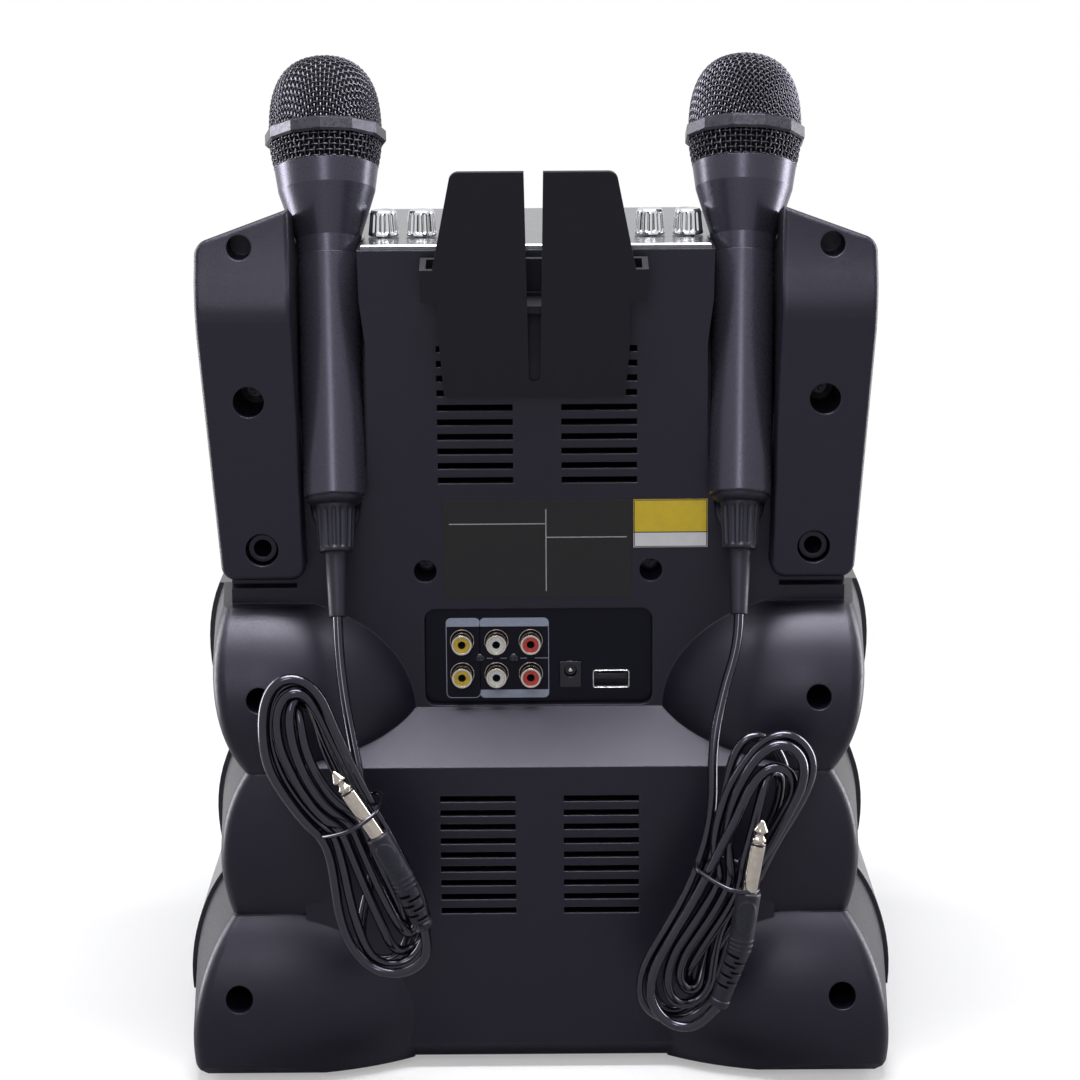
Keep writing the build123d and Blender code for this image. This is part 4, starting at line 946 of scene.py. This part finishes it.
stage = {
    "floorColour": "#c8c8ca", "floorRadius": 0.7, "fadeFrom": 0.3, "fadeMargin": 0.02, "roomLight": 0.3,
    "paperLift": 0.35,
}


def makeStage():
    # plain pale floor: a round sheet that thins out towards its rim, so no edge shows
    radii = np.array([0.001, 0.2, 0.4, 0.6, stage["floorRadius"]])[:, None]
    angle = np.linspace(0, 2 * math.pi, 64, endpoint=False)[None, :]
    points = np.stack(np.broadcast_arrays(radii * np.cos(angle), radii * np.sin(angle), 0.0 * radii), axis=-1)
    mesh = bpy.data.meshes.new("floor")
    mesh.from_pydata(points.reshape(-1, 3).tolist(), [], gridFaces(5, 64, flip=True).tolist())
    material, tree, shader = newMaterial("paperFloor", {
        "Base Color": hexColour(stage["floorColour"]), "Roughness": 0.9, "Specular IOR Level": 0.1,
        "Emission Color": (1, 1, 1, 1),
    })
    coordinates = addNode(tree, "ShaderNodeTexCoord")
    distance = addNode(tree, "ShaderNodeVectorMath", {0: coordinates.outputs["Object"]}, operation="LENGTH")
    fade = addNode(tree, "ShaderNodeMapRange", {
        "Value": distance.outputs["Value"], "From Min": stage["fadeFrom"],
        "From Max": stage["floorRadius"] - stage["fadeMargin"], "To Min": 1.0, "To Max": 0.0,
    }, interpolation_type="SMOOTHSTEP")
    tree.links.new(fade.outputs["Result"], shader.inputs["Alpha"])
    # the paper looks white to the camera without lighting the object more
    rays = addNode(tree, "ShaderNodeLightPath")
    lift = addNode(tree, "ShaderNodeMapRange", {
        "Value": rays.outputs["Is Camera Ray"], "To Max": stage["paperLift"],
    })
    tree.links.new(lift.outputs["Result"], shader.inputs["Emission Strength"])
    mesh.materials.append(material)
    newObject("floor", mesh)

    # camera, mirrors and glass see a plain white room; the object is lit by a dimmer one
    world = bpy.data.worlds.new("studio")
    world.use_nodes = True
    bpy.context.scene.world = world
    tree = world.node_tree
    rays = addNode(tree, "ShaderNodeLightPath")
    seen = rays.outputs["Is Camera Ray"]
    for ray in ("Is Glossy Ray", "Is Transmission Ray"):
        either = addNode(tree, "ShaderNodeMath", {0: seen, 1: rays.outputs[ray]}, operation="MAXIMUM")
        seen = either.outputs["Value"]
    strength = addNode(tree, "ShaderNodeMapRange", {
        "Value": seen, "To Min": stage["roomLight"], "To Max": 1.0,
    })
    tree.links.new(strength.outputs["Result"], tree.nodes["Background"].inputs["Strength"])
    tree.nodes["Background"].inputs["Color"].default_value = (1, 1, 1, 1)


lamps = {
    "overhead": {"place": (0.0, 0.18, 1.3), "aim": (0.0, 0.12, 0.2), "size": (0.7, 0.24), "power": 15},
    "front": {"place": (0.15, 1.5, 1.0), "aim": (0.0, 0.0, 0.3), "size": (0.35, 0.6), "power": 6},
    "topSheen": {
        "place": (0.0, 0.22, 1.25), "aim": (0.0, 0.1, 0.15), "size": (1.1, 0.75), "power": 32,
        "sheenOnly": True,
    },
}
for label, side in (("left", 1), ("right", -1)):
    aim = (0.1 * side, 0.0, 0.22)
    lamps[f"{label}Strip"] = {"place": (side, -0.4, 0.5), "aim": aim, "size": (0.3, 1.2), "power": 6}
    lamps[f"{label}Sheen"] = {
        "place": (side, -0.2, 0.35), "aim": aim, "size": (0.3, 1.1), "power": 18, "sheenOnly": True,
    }


def makeLamps():
    # oblong lamps turned to face what they aim at; a sheen lamp shows in gloss and adds no colour
    for name, lamp in lamps.items():
        light = bpy.data.lights.new(name, "AREA")
        light.shape = "RECTANGLE"
        light.size, light.size_y = lamp["size"]
        light.energy = lamp["power"]
        rig = newObject(name, light)
        rig.location = lamp["place"]
        aim = Vector(lamp["aim"]) - Vector(lamp["place"])
        rig.rotation_euler = aim.to_track_quat("-Z", "Y").to_euler()
        rig.visible_camera = False
        rig.visible_diffuse = not lamp.get("sheenOnly", False)


camera = {
    "lens": 100.0, "shiftX": 0.00204, "target": (0.0, 0.0, 0.199), "distance": 1.285,
    "pitch": 13.0, "roll": -0.385,
}


def makeCamera():
    # back from the target by the distance along the pitch, looking at it, then rolled
    data = bpy.data.cameras.new("camera")
    data.sensor_width = 36.0
    data.lens = camera["lens"]
    data.shift_x = camera["shiftX"]
    data.clip_start, data.clip_end = 0.05, 100
    rig = newObject("camera", data)
    pitch = math.radians(camera["pitch"])
    back = Vector((0, math.cos(pitch), math.sin(pitch)))
    rig.location = Vector(camera["target"]) + back * camera["distance"]
    roll = Matrix.Rotation(math.radians(camera["roll"]), 4, "Z")
    rig.rotation_mode = "QUATERNION"
    rig.rotation_quaternion = ((-back).to_track_quat("-Z", "Y").to_matrix().to_4x4() @ roll).to_quaternion()
    bpy.context.scene.camera = rig


makeStage()
makeLamps()
makeCamera()
bpy.context.scene.view_settings.view_transform = "Standard"
print("stage made")
